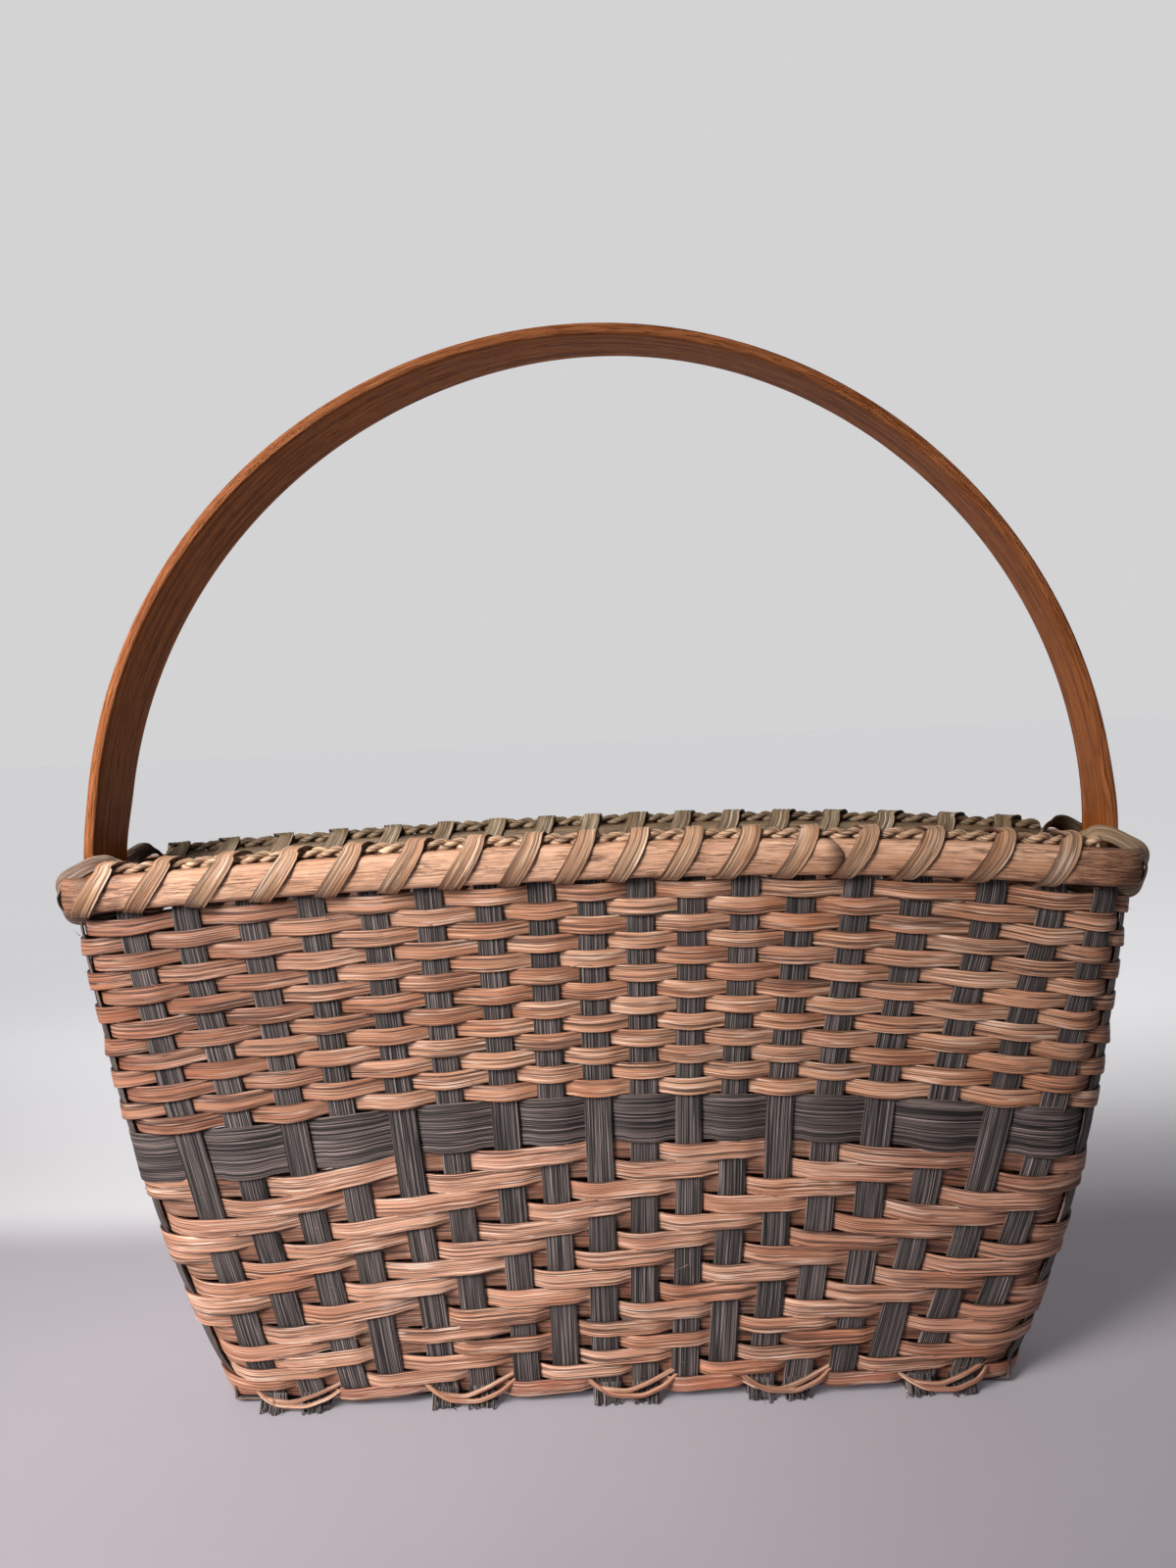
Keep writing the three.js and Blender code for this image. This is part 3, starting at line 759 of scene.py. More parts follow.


# Cream of the painted highlights on the reed
HIGHLIGHT_CREAM = (1, 0.92, 0.82)
BLACK = (0, 0, 0)
# Tint of the painted shade towards one end of the basket, where the light falls off
FALLOFF_SHADE_TINT = (0.62, 0.5, 0.46)
# Painted shade along a reed's edges, where the rows meet, and on its back
EDGE_PAINTED_SHADE = (0.2, 0.12, 0.08)
# Painted shade where a reed lies inside the weave, behind the stakes
INSIDE_PAINTED_SHADE = (0.3, 0.2, 0.15)
RIM_TINT = (0.72, 0.6, 0.5)
# Painted shade along a rim's top and bottom edges and on its back
RIM_EDGE_PAINTED_SHADE = (0.5, 0.38, 0.3)
SCORCH_TINT = (0.46, 0.38, 0.32)
SCRATCH_GAIN = 2.4


def reed_material(name, light, middle, dark, warm, lines=0.9, falloff_shade=None):
    """Split reed: long fine dark and pale streaks, painted highlights, and crisp edges with
    painted shade along them and on its back, and painted shade where it lies inside the weave.

    The last argument says where along the basket, in metres, painted shade for light that falls off
    towards one end starts to darken and brown the reed, where that ends, and how much darker it gets.
    """
    n = Nodes(bpy.data.materials.new(name))
    broad = n.noise(n.grain(6.0, 0.2, 3.1), detail=2)
    body = n.ramp(broad, [(0.34, middle), (0.62, light)])
    fine = n.noise(n.grain(4.0, 0.04), detail=3, roughness=0.65)
    streaks = n.ramp(fine, [(0.36, dark), (0.47, middle), (0.56, light)])
    colour = n.blend("MIX", 0.5, body, streaks)
    groove = n.noise(n.grain(7.0, 0.06, 9.7), detail=3, roughness=0.6)
    colour = n.blend("MIX", n.ramp(groove, [(0.42, lines), (0.455, 0.0)]), colour, dark)
    hair = n.noise(n.grain(9.0, 0.03, 12.3), detail=1)
    colour = n.blend("MIX", n.ramp(hair, [(0.41, 0.85), (0.46, 0.0)]), colour, between(dark, middle, 0.25))
    # Painted highlights: short pale cream glints along the reed
    painted_glint = n.noise(n.grain(2.2, 0.06, 15.0), detail=2)
    pale = between(light, HIGHLIGHT_CREAM, 0.45)
    colour = n.blend("MIX", n.ramp(painted_glint, [(0.57, 0.0), (0.64, 0.75)]), colour, pale)
    tone = n.noise(n.grain(5.5, 1.1, 21.0), detail=2)
    colour = n.blend("MULTIPLY", n.ramp(tone, [(0.36, 0.9), (0.6, 0.0)]), colour, warm)
    # Painted shade: the reed darkens and browns towards one end, where the light falls off
    if falloff_shade:
        start, end, most = falloff_shade
        colour = n.blend("MULTIPLY", n.fade(n.axis("Object", 0), start, end, high=most), colour, FALLOFF_SHADE_TINT)
    edge, show = n.tones()
    # Painted shade along the edges and on the back
    colour = n.blend("MULTIPLY", n.ramp(edge, [(0.87, 0.0), (0.96, 1.0)]), colour, EDGE_PAINTED_SHADE)
    # Painted shade where the reed lies inside the weave
    colour = n.blend("MULTIPLY", n.ramp(show, [(0.02, 0.75), (0.1, 0.0)]), colour, INSIDE_PAINTED_SHADE)
    rough = n.ramp(fine, [(0.35, 0.7), (0.65, 0.48)])
    return n.finish(colour, rough, [(fine, 0.1), (n.ramp(groove, [(0.38, 0.0), (0.46, 1.0)]), 0.12)])


def dyed_material(name, light, middle, dark, core, along):
    """Dyed dark splint: close parallel ridges, fine pale lines, and a paler core at its edges."""
    n = Nodes(bpy.data.materials.new(name))
    fine = n.noise(n.grain(along, 0.045), detail=2, roughness=0.6)
    broad = n.noise(n.grain(along * 0.7, 0.16, 5.0), detail=2)
    colour = n.ramp(fine, [(0.42, dark), (0.5, middle), (0.58, light)])
    colour = n.blend("MULTIPLY", 0.8, colour, n.ramp(broad, [(0.3, 0.35), (0.65, 1.0)]))
    scratch = n.noise(n.grain(along * 0.6, 0.036, 11.0), detail=2, roughness=0.6)
    pale = tuple(min(c * SCRATCH_GAIN, 1.0) for c in light)
    colour = n.blend("MIX", n.ramp(scratch, [(0.58, 0.0), (0.63, 0.85)]), colour, pale)
    edge = n.tones()[0]
    worn = n.ramp(n.noise(n.grain(1.2, 9.0, 17.0), detail=2), [(0.46, 0.0), (0.56, 0.8)])
    side = n.ramp(edge, [(0.9, 0.0), (0.99, 1.0)])
    colour = n.blend("MIX", n.maths("MULTIPLY", side, worn), colour, core)
    rough = n.ramp(fine, [(0.3, 0.72), (0.7, 0.5)])
    return n.finish(colour, rough, [(fine, 0.3), (broad, 0.2)], specular=0.35)


def rim_material(name, light, middle, dark):
    """Flat oval cane: pale, with short brown dashes in patches, and scorched towards its ends."""
    n = Nodes(bpy.data.materials.new(name))
    fine = n.noise(n.grain(2.4, 0.05), detail=4, roughness=0.6)
    colour = n.ramp(fine, [(0.4, middle), (0.58, light)])
    tone = n.noise(n.grain(6.0, 0.8, 30.0), detail=2)
    colour = n.blend("MULTIPLY", n.ramp(tone, [(0.38, 0.8), (0.6, 0.0)]), colour, RIM_TINT)
    edge, scorch = n.tones()
    dash = n.noise(n.grain(0.8, 0.06, 4.0), detail=4, roughness=0.7)
    patch = n.noise(n.grain(1.8, 0.45, 8.0), detail=3)
    patch = n.maths("ADD", patch, n.maths("MULTIPLY", scorch, 0.3))
    marks = n.ramp(dash, [(0.44, 0.0), (0.56, 1.0)])
    burn = n.maths("MULTIPLY", marks, n.ramp(patch, [(0.42, 0.28), (0.62, 1.0)]))
    colour = n.blend("MIX", n.maths("MULTIPLY", burn, 0.92), colour, dark)
    colour = n.blend("MULTIPLY", n.maths("MULTIPLY", scorch, 0.9), colour, SCORCH_TINT)
    # Painted shade along the top and bottom edges and on the back
    colour = n.blend("MULTIPLY", n.ramp(edge, [(0.7, 0.0), (1.0, 0.7)]), colour, RIM_EDGE_PAINTED_SHADE)
    rough = n.ramp(fine, [(0.3, 0.68), (0.7, 0.5)])
    return n.finish(colour, rough, [(fine, 0.2), (dash, 0.12)])


def grass_material(name, light, middle, dark):
    """Twisted grass cord: flat blades with dark folds between them."""
    n = Nodes(bpy.data.materials.new(name))
    fibre = n.noise(n.grain(1.6, 0.05), detail=4, roughness=0.6)
    tone = n.noise(n.grain(0.8, 0.35, 6.0), detail=2)
    colour = n.ramp(fibre, [(0.36, dark), (0.46, middle), (0.56, light)])
    colour = n.blend("MULTIPLY", 0.6, colour, n.ramp(tone, [(0.36, 0.35), (0.6, 1.0)]))
    return n.finish(colour, n.ramp(fibre, [(0.4, 0.7), (0.65, 0.5)]), [(fibre, 0.2)], specular=0.45)


def wood_material(name, edge_light, edge_dark, face_light, face_dark):
    """Steam bent hardwood under oil: orange edges and a browner, open grained inner face."""
    n = Nodes(bpy.data.materials.new(name))
    broad = n.noise(n.grain(6.0, 0.25), detail=3)
    pores = n.noise(n.grain(0.9, 0.05, 2.0), detail=4, roughness=0.65)
    inner = n.ramp(broad, [(0.36, face_dark), (0.62, face_light)])
    rim = n.ramp(n.noise(n.grain(2.6, 0.1, 7.0), detail=4), [(0.38, edge_dark), (0.58, edge_light)])
    edge = n.tones()[0]
    colour = n.blend("MIX", n.ramp(edge, [(0.35, 0.0), (0.75, 1.0)]), inner, rim)
    deep = between(face_dark, BLACK, 0.5)
    colour = n.blend("MIX", n.ramp(pores, [(0.53, 0.0), (0.62, 0.75)]), colour, deep)
    rough = n.ramp(pores, [(0.4, 0.5), (0.7, 0.7)])
    relief = n.ramp(pores, [(0.45, 1.0), (0.65, 0.0)])
    return n.finish(colour, rough, [(relief, 0.15), (broad, 0.1)], specular=0.08)


# The weavers' reeds carry painted shade towards one end: the lower rows to the right, the upper rows to the
# left
REED = reed_material("natural_reed", (0.66, 0.37, 0.25), (0.43, 0.21, 0.129), (0.055, 0.02, 0.011),
                     (0.78, 0.58, 0.46), falloff_shade=(0.0, 0.16, 0.6))
UPPER_REED = reed_material("upper_reed_shaded_left", (0.64, 0.36, 0.226), (0.42, 0.202, 0.117), (0.045, 0.016, 0.008),
                           (0.78, 0.58, 0.46), falloff_shade=(-0.02, -0.15, 0.85))
FOOT_REED = reed_material("reddish_reed", (0.50, 0.26, 0.165), (0.35, 0.155, 0.095), (0.09, 0.03, 0.018),
                          (0.8, 0.5, 0.4))
LASH = reed_material("lashing_reed", (0.57, 0.355, 0.215), (0.38, 0.215, 0.12), (0.11, 0.05, 0.027),
                     (0.8, 0.62, 0.5), lines=0.65)
# Painted shade: a dark copy of the lashing reed for the back lashing
SHADED_BACK_LASH = reed_material("shaded_back_lashing_reed", (0.26, 0.185, 0.105), (0.165, 0.108, 0.056),
                          (0.05, 0.03, 0.017), (0.7, 0.58, 0.42), lines=0.6)
# Painted shade: darker copies of the reed for the wraps at the two ends
SHADED_LEFT_WRAP = reed_material("shaded_left_wrap_reed", (0.19, 0.105, 0.063), (0.11, 0.056, 0.031), (0.03, 0.012, 0.007),
                          (0.6, 0.45, 0.36), lines=0.8)
SHADED_RIGHT_WRAP = reed_material("shaded_right_wrap_reed", (0.38, 0.255, 0.145), (0.25, 0.158, 0.085),
                           (0.08, 0.045, 0.022), (0.75, 0.62, 0.48), lines=0.6)
TWINE = reed_material("twining_reed", (0.50, 0.28, 0.18), (0.36, 0.18, 0.11), (0.12, 0.05, 0.03),
                      (0.8, 0.6, 0.5), lines=0.5)
STAKE = dyed_material("dyed_stake", (0.125, 0.10, 0.094), (0.036, 0.028, 0.027), (0.009, 0.007, 0.007),
                      (0.34, 0.19, 0.13), along=9.0)
BAND = dyed_material("dyed_band", (0.135, 0.10, 0.092), (0.037, 0.027, 0.0245), (0.007, 0.005, 0.0045),
                     (0.16, 0.11, 0.09), along=11.0)
RIM = rim_material("rim_cane", (0.80, 0.485, 0.32), (0.60, 0.33, 0.205), (0.13, 0.055, 0.03))
# Painted shade: a dark copy of the rim cane for the inner rim
SHADED_INNER_RIM = rim_material("shaded_inner_rim_cane", (0.24, 0.165, 0.09), (0.15, 0.095, 0.05), (0.05, 0.028, 0.015))
GRASS = grass_material("twisted_grass", (0.74, 0.48, 0.31), (0.33, 0.185, 0.10), (0.025, 0.013, 0.007))
# Painted shade: a dark copy of the twisted grass for the back cord
SHADED_BACK_GRASS = grass_material("shaded_back_twisted_grass", (0.27, 0.18, 0.10), (0.13, 0.08, 0.042),
                            (0.02, 0.012, 0.007))
WOOD = wood_material("handle_wood", (0.37, 0.13, 0.047), (0.24, 0.072, 0.023), (0.40, 0.115, 0.016),
                     (0.20, 0.048, 0.005))


# Weavers

REED_PROFILE = flat_profile(13, 0.13)
BAND_PROFILE = flat_profile(19, 0.12)


def row_knots(row_index, height, ring, rng):
    """Standoffs, sags and tilts of a row where it meets each upright."""
    total = len(UPRIGHTS)
    sides = [-1 if stake_shows(row_index, k + 1) else 1 for k in range(total)]
    places = [ring.upright_distance(upright, height) for upright in UPRIGHTS]
    edge = STAKE_WIDTH / 2
    offs, sags, tilts = [], [], []
    for k, (s, side) in enumerate(zip(places, sides)):
        following = (k + 1) % total
        bulge = MIDDLE_STANDOFF + rng.normal(0, BULGE_SPREAD)
        offs += [(s - edge, side * EDGE_STANDOFF), (s, side * bulge), (s + edge, side * EDGE_STANDOFF)]
        if sides[following] == side and UPRIGHTS[following][0] == UPRIGHTS[k][0]:
            offs.append(((s + places[following]) / 2, side * FLOAT_STANDOFF))
        if row_index >= len(TWILL_STARTS):
            sag = -side * PLAIN_SAG
        elif side > 0:
            sag = TWILL_SAGS["first over" if sides[k - 1] < 0 else "second over"]
        else:
            sag = TWILL_SAGS["first under" if sides[k - 1] > 0 else "second under"]
        sags.append((s, sag + rng.normal(0, SAG_SPREAD)))
        tilts.append((s, rng.normal(0, TILT_SPREAD) - CROSSING_TILT * side))
    return sides, offs, sags, tilts


def hidden_start(row_index, sides, ring, height):
    """Where a row's ends hide: behind one of the back stakes that lie outside it."""
    hidden = [k for k, side in enumerate(sides) if side < 0 and UPRIGHTS[k][0] == BACK]
    return ring.upright_distance(UPRIGHTS[hidden[END_STRIDE * row_index % len(hidden)]], height)


def weave_row(row_index, row, material, slot_name):
    """One weaver as an open strip whose ends lie one on the other behind a back stake."""
    rng = np.random.default_rng(SEEDS["rows"] + row_index)
    band = row["kind"] == "dark_band"
    profile = BAND_PROFILE if band else REED_PROFILE
    calm = BAND_CALM if band else 1.0
    height = row["middle"]
    ring = row_ring(height)
    sides, *knots = row_knots(row_index, height, ring, rng)
    start = hidden_start(row_index, sides, ring, height)
    tuck = STAKE_WIDTH / 2 - END_MARGIN
    distances = start + np.linspace(-tuck, ring.total + tuck, int((ring.total + 2 * tuck) / REED_STEP))
    place, ring_out = ring.at(distances)
    centre = lifted(place, sunk(place[:, 0], height))
    tangent = unit(np.gradient(centre, axis=0))
    out = unit(np.cross(tangent, lean_up(ring_out, height)))
    up = np.cross(out, tangent)
    off, sag, tilt = [smooth_round(distances, *np.array(values).T, ring.total, softness)
                      for values, softness in zip(knots, KNOT_SOFTNESS)]
    show = np.clip(off / SHOW_SPAN + 0.5, 0, 1)
    over = share_past(distances, start + ring.total - tuck - OVERLAP_START, OVERLAP_STEP)
    off = off - over * (REED_THICKNESS + OVERLAP_GAP)
    line = centre + out * off[:, None] + up * (sag * calm)[:, None]
    leaned_up, leaned_out = rotate_pair(up, out, (tilt * calm)[:, None])
    from_end = np.minimum(distances - distances[0], distances[-1] - distances)
    thickness = REED_THICKNESS * np.clip(from_end / TIP_LENGTH, TIP_SHARE, 1)
    squeeze = 1 - WAY_THROUGH_SQUEEZE * np.clip(1 - np.abs(off) / EDGE_STANDOFF, 0, 1)
    width = row["width"] * squeeze * (1 + slow_wave(rng, distances, *WIDTH_WAVES["reed"]))
    ridges = ridge_heights(rng, distances, profile, REED_RIDGE)
    sections = strip_sections(line, leaned_up, leaned_out, width, thickness, profile, ridges)
    girth = girth_of(profile, row["width"], REED_THICKNESS)
    solid = Solid()
    seed = GRAIN_SEEDS["rows"] + row_index
    solid.strip(sections, distances - distances[0], girth, seed, edge_tone(profile), show)
    solid.finish(f"woven_{row['name']}", material, slot_name, [row["name"]])


def make_rows():
    materials = {"foot_reed": REED, "lower_reed": REED, "dark_band": BAND, "upper_reed": UPPER_REED}
    for row_index, row in enumerate(ROWS):
        material = FOOT_REED if row_index == 0 else materials[row["kind"]]
        slot_name = "dark_reed" if row["kind"] == "dark_band" else "natural_reed"
        weave_row(row_index, row, material, slot_name)


# Stakes

STAKE_PROFILE = flat_profile(13, 0.14)


def sway_at(number, heights):
    """How far a stake is pushed out by the rows behind it, and in by the rows over it."""
    spots = [0.0, *(row["middle"] for row in ROWS), RIM_TOP]
    pushes = [STAKE_SWAY if stake_shows(r, number) else -STAKE_SWAY for r in range(len(ROWS))]
    steps = np.linspace(-SWAY_SOFTNESS, SWAY_SOFTNESS, SWAY_STEPS)
    return sum(np.interp(heights + step, spots, [0.0, *pushes, 0.0]) for step in steps) / len(steps)


def wall_line(wall, along, heights, number):
    """A stake's line up one wall: points, directions across it and directions out."""
    flat, out = wall_point(wall, along, heights)
    points = lifted(flat, sunk(flat[:, 0], heights))
    normal = unit(np.cross(sideways(out), lean_up(out, heights)))
    rise = unit(np.gradient(points, axis=0))
    across = unit(np.cross(normal, rise))
    outward = np.cross(rise, across)
    return points + outward * sway_at(number, heights)[:, None], across, outward


def stake_number(wall, index):
    """The number of one stake's upright in a row's order."""
    return 1 + next(k for k, upright in enumerate(UPRIGHTS) if upright[:2] == (wall, index))


def stake_line(index, walls, levels, rng):
    """A stake's whole line: down one wall, along the base and up the opposite wall."""
    top = RIM_TOP - STAKE_TOP_GAP
    parts = []
    for wall, level in zip(walls, levels):
        number = stake_number(wall, index)
        heights = np.linspace(top, level + STAKE_BEND_RADIUS, int(top / STAKE_STEP))
        along = upright_place(UPRIGHTS[number - 1], heights)
        along = along + slow_wave(rng, heights[::-1], *STAKE_WAVE)[::-1]
        parts.append(wall_line(wall, along, heights, number))
    (near, near_across, near_out), (far, far_across, far_out) = parts
    base, base_across, base_out = base_line(near[-1], far[-1], levels)
    base_across = base_across * np.sign(np.dot(base_across[0], near_across[-1]))
    points = np.vstack([near, base, far[::-1]])
    across = np.vstack([near_across, base_across, -far_across[::-1]])
    return points, across, np.vstack([near_out, base_out, far_out[::-1]])


def base_line(first, last, levels):
    """The stretch under the basket between two bends, with a step between its two levels."""
    radius = STAKE_BEND_RADIUS
    run = last[:2] - first[:2]
    length = np.linalg.norm(run)
    direction = run / length
    angles = np.linspace(0, math.pi / 2, BEND_STEPS + 1)[1:]
    bend = [(radius * (1 - math.cos(a)), radius * (1 - math.sin(a)), a) for a in angles]
    stations = [(s, levels[0] + z, a) for s, z, a in bend]
    for s in np.linspace(radius, length - radius, BASE_STATIONS + 2)[1:-1]:
        share = np.clip((s - length / 2) / BASE_STEP_LENGTH + 0.5, 0, 1)
        stations.append((s, levels[0] + (levels[1] - levels[0]) * share, math.pi / 2))
    stations += [(length - s, levels[1] + z, math.pi - a) for s, z, a in reversed(bend)]
    points = np.array([[*(first[:2] + direction * s), z] for s, z, _ in stations])
    out = np.array([[*(-direction * math.cos(a)), -math.sin(a)] for _, _, a in stations])
    side = np.array([-direction[1], direction[0], 0.0])
    return points, np.repeat([side], len(points), 0), out


def add_stake(name, index, walls, levels, seed):
    rng = np.random.default_rng(seed)
    points, across, out = stake_line(index, walls, levels, rng)
    along = running_length(points)
    width = STAKE_WIDTH * (1 + slow_wave(rng, along, *WIDTH_WAVES["stake"]))
    ridges = ridge_heights(rng, along, STAKE_PROFILE, STAKE_RIDGE)
    sections = strip_sections(points, across, out, width, STAKE_LOOK_THICKNESS, STAKE_PROFILE, ridges)
    girth = girth_of(STAKE_PROFILE, STAKE_WIDTH, STAKE_THICKNESS)
    solid = Solid()
    solid.strip(sections, along, girth, seed, edge_tone(STAKE_PROFILE) ** 3)
    solid.finish(f"splint_{name}", STAKE, "dark_stake", [name])


def make_stakes():
    for i in range(CROSS_STAKES):
        low_first = stake_shows(0, i + 1)
        levels = (LOW_LEVEL, HIGH_LEVEL) if low_first else (HIGH_LEVEL, LOW_LEVEL)
        add_stake(f"cross_stake_{i + 1}", i, (FRONT, BACK), levels, SEEDS["cross_stakes"] + i)
    for j in range(LENGTH_STAKES):
        levels = (MIDDLE_LEVEL, MIDDLE_LEVEL)
        add_stake(f"length_stake_{j + 1}", j, (LEFT, RIGHT), levels, SEEDS["length_stakes"] + j)


# Rims

def rim_sink(x):
    share = np.clip(np.abs(x) / RIM_HALF_LENGTH, 0, 1)
    return np.where(np.asarray(x) < 0, LEFT_RIM_SINK, RIGHT_RIM_SINK) * share ** 2


def rim_profile(points):
    """Flat oval: a full crown on one face and an eased flat back. Shares of height and thickness."""
    angles = np.linspace(0, math.pi, points)
    face = np.stack([-np.cos(angles) / 2, 0.34 + 0.66 * np.sin(angles) ** 0.75], 1)
    back = np.array([[0.47, 0.1], [0.38, 0.0], [0.13, 0.0], [-0.13, 0.0], [-0.38, 0.0], [-0.47, 0.1]])
    return np.vstack([face, back])


RIM_PROFILE = rim_profile(15)
RIM_STEP = 2.5
SCORCH_START = 150.0
SCORCH_LENGTH = 16.0
END_THINNING = 2.0
THINNING_START = 168.0
THINNING_LENGTH = 10.0


def make_rim(name, length, depth, radius, facing, scarf_wall, material):
    """A rim lath round the basket, whose end lies over its start in a scarf joint."""
    rng = np.random.default_rng(SEEDS["rims"] + facing)
    ring = Ring(length, depth, radius, RIM_STEP)
    start = ring.distance_of(scarf_wall, SCARF_PLACE)
    around = np.linspace(0, ring.total, int(ring.total / RIM_STEP))
    place, out2 = ring.at(start + around)
    reach = np.abs(place[:, 0])
    swell = SCARF_RISE * share_past(around, ring.total - SCARF_LENGTH, SCARF_LENGTH)
    taper = SCARF_RISE * (1 - share_past(around, 0, SCARF_LENGTH))
    thinning = END_THINNING * share_past(reach, THINNING_START, THINNING_LENGTH)
    thickness = RIM_THICKNESS - taper + swell - thinning
    height = RIM_HEIGHT * (1 + slow_wave(rng, around, *WIDTH_WAVES["rim"]))
    ridges = ridge_heights(rng, around, RIM_PROFILE, RIM_RIDGE)
    centre = lifted(place, RIM_MIDDLE - rim_sink(place[:, 0]))
    up = np.tile(UP, (len(around), 1))
    sections = strip_sections(centre, up, lifted(out2 * facing, 0), height, thickness, RIM_PROFILE, ridges)
    bow = SCARF_BOW * (1 - (2 * RIM_PROFILE[:, 0]) ** 2)
    sections[-1] += np.outer(bow, sideways(out2)[-1])
    girth = girth_of(RIM_PROFILE, RIM_HEIGHT, RIM_THICKNESS)
    scorch = share_past(reach, SCORCH_START, SCORCH_LENGTH)
    solid = Solid()
    solid.strip(sections, around, girth, GRAIN_SEEDS["rims"] + facing, edge_tone(RIM_PROFILE), scorch)
    solid.finish(f"cane_{name}", material, "rim_reed", [name])


def make_rims():
    make_rim("outer_rim", RIM_HALF_LENGTH + WEAVER_INNER + RIM_EASE, RIM_HALF_DEPTH + WEAVER_INNER,
             RIM_CORNER_RADIUS, 1, FRONT, RIM)
    make_rim("inner_rim", HANDLE_OUTER - HANDLE_THICKNESS - FIT, RIM_HALF_DEPTH - WEAVER_INNER,
             RIM_CORNER_RADIUS + RIM_THICKNESS, -1, BACK, SHADED_INNER_RIM)


# Filler: two strands of grass twisted round each other

FILLER_STEP = 0.9
FILLER_SIDES = 8
FILLER_HEIGHT = RIM_TOP + FILLER_RISE
FILLER_TUCK = 11.0
FILLER_END_SPACE = 2.0
BLADES = 3
BLADE_DEPTH = 0.16
BLADE_TWIST = 1.2


def filler_side(solid, ring, wall, rng):
    """The cord along one long side, from under one end wrap to the next."""
    reach = HANDLE_OUTER - FILLER_TUCK
    around = np.arange(ring.distance_of(wall, -reach), ring.distance_of(wall, reach), FILLER_STEP)
    place, out2 = ring.at(around)
    height = FILLER_HEIGHT + slow_wave(rng, around, *FILLER_HEIGHT_WAVE)
    centre = lifted(place, height - rim_sink(place[:, 0]))
    phase = 2 * math.pi * around / FILLER_PITCH + slow_wave(rng, around, *FILLER_TURN_WAVE)
    angles = np.linspace(0, 2 * math.pi, FILLER_SIDES, endpoint=False)
    girth = np.linspace(0, 2 * math.pi * FILLER_STRAND_RADIUS, FILLER_SIDES + 1)
    for strand in range(2):
        turn = (phase + strand * math.pi)[:, None]
        line = centre + FILLER_TWIST_RADIUS * (lifted(out2, 0) * np.cos(turn) + UP * np.sin(turn))
        swell = FILLER_STRAND_RADIUS * (1 + slow_wave(rng, around, *FILLER_GIRTH_WAVE))
        radius = np.outer(swell, 1 + BLADE_DEPTH * np.cos(BLADES * angles))
        sections = tube_sections(line, angles - BLADE_TWIST * turn, radius)
        solid.strip(sections, around, girth, GRAIN_SEEDS["filler"] + strand + 2 * wall)


def make_filler():
    rng = np.random.default_rng(SEEDS["filler"])
    length = HANDLE_OUTER + FIT + FILLER_END_SPACE
    ring = Ring(length, RIM_HALF_DEPTH, RIM_CORNER_RADIUS + RIM_THICKNESS, RIM_STEP)
    front = Solid()
    filler_side(front, ring, FRONT, rng)
    front.finish("twisted_rim_filler", GRASS, "seagrass", ["rim_filler"])
    back = Solid()
    filler_side(back, ring, BACK, rng)
    back.finish("twisted_back_filler", SHADED_BACK_GRASS, "seagrass")


# Lashing

def catmull(points, per):
    """A smooth curve through points, with per steps between each two."""
    padded = np.vstack([2 * points[0] - points[1], points, 2 * points[-1] - points[-2]])
    result = []
    for i in range(1, len(padded) - 2):
        p0, p1, p2, p3 = padded[i - 1:i + 3]
        for t in np.arange(per) / per:
            result.append(0.5 * (2 * p1 + (p2 - p0) * t + (2 * p0 - 5 * p1 + 4 * p2 - p3) * t * t
                                 + (3 * p1 - p0 - 3 * p2 + p3) * t ** 3))
    result.append(points[-1])
    return np.array(result)


LASH_PROFILE = flat_profile(17, 0.14)
LASH_RIDGES = 4
LASH_RIDGE = 0.07
LASH_STEPS = 5
LASH_LIFT = LASH_THICKNESS / 2 + LASH_SPACE
LASH_TOP_SHARE = 0.52
LASH_UNDER_SPACE = 0.15
LASH_FAN_REACH = 1.0
LASH_PIVOT_RISE = 1.5
LASH_FACING = 0.62


def lash_turn():
    """One turn in section: way out from the stakes, height, and share of the way to the next gap."""
    face = WEAVER_INNER + RIM_THICKNESS + LASH_LIFT
    low = RIM_BOTTOM - LASH_THICKNESS / 2 - LASH_UNDER_SPACE
    crown = FILLER_HEIGHT + FILLER_TWIST_RADIUS + FILLER_STRAND_RADIUS + LASH_THICKNESS / 2
    outside = [
        (0.9, low - 0.1, -0.05),
        (WEAVER_INNER + 2.0, low + 0.1, -0.02),
        (face - 0.9, RIM_MIDDLE - 4.8, 0.06),
        (face, RIM_MIDDLE - 1.0, 0.21),
        (face - 0.3, RIM_MIDDLE + 3.2, 0.36),
        (WEAVER_INNER + 2.7, RIM_TOP + 0.7, 0.47),
        (1.7, crown - 0.7, 0.505),
    ]
    inside = [(-out, height, 2 * LASH_TOP_SHARE - share) for out, height, share in reversed(outside)]
    return [*outside, (0.0, crown, LASH_TOP_SHARE), *inside]


def add_lash(solid, points, outward, width, seed):
    """One stretch of ridged lashing strip along a smooth line, added to a solid."""
    rng = np.random.default_rng(seed)
    length = running_length(points)
    widths = width * (1 + slow_wave(rng, length, *WIDTH_WAVES["lash"]))
    tangent = unit(np.gradient(points, axis=0))
    across = unit(np.cross(outward, tangent))
    out = np.cross(tangent, across)
    wave = np.cos(2 * math.pi * LASH_RIDGES * LASH_PROFILE[:, 0])
    ridges = LASH_RIDGE * wave * on_face(LASH_PROFILE)
    sections = strip_sections(points, across, out, widths, LASH_THICKNESS, LASH_PROFILE, ridges)
    girth = girth_of(LASH_PROFILE, width, LASH_THICKNESS)
    solid.strip(sections, length, girth, seed, edge_tone(LASH_PROFILE))


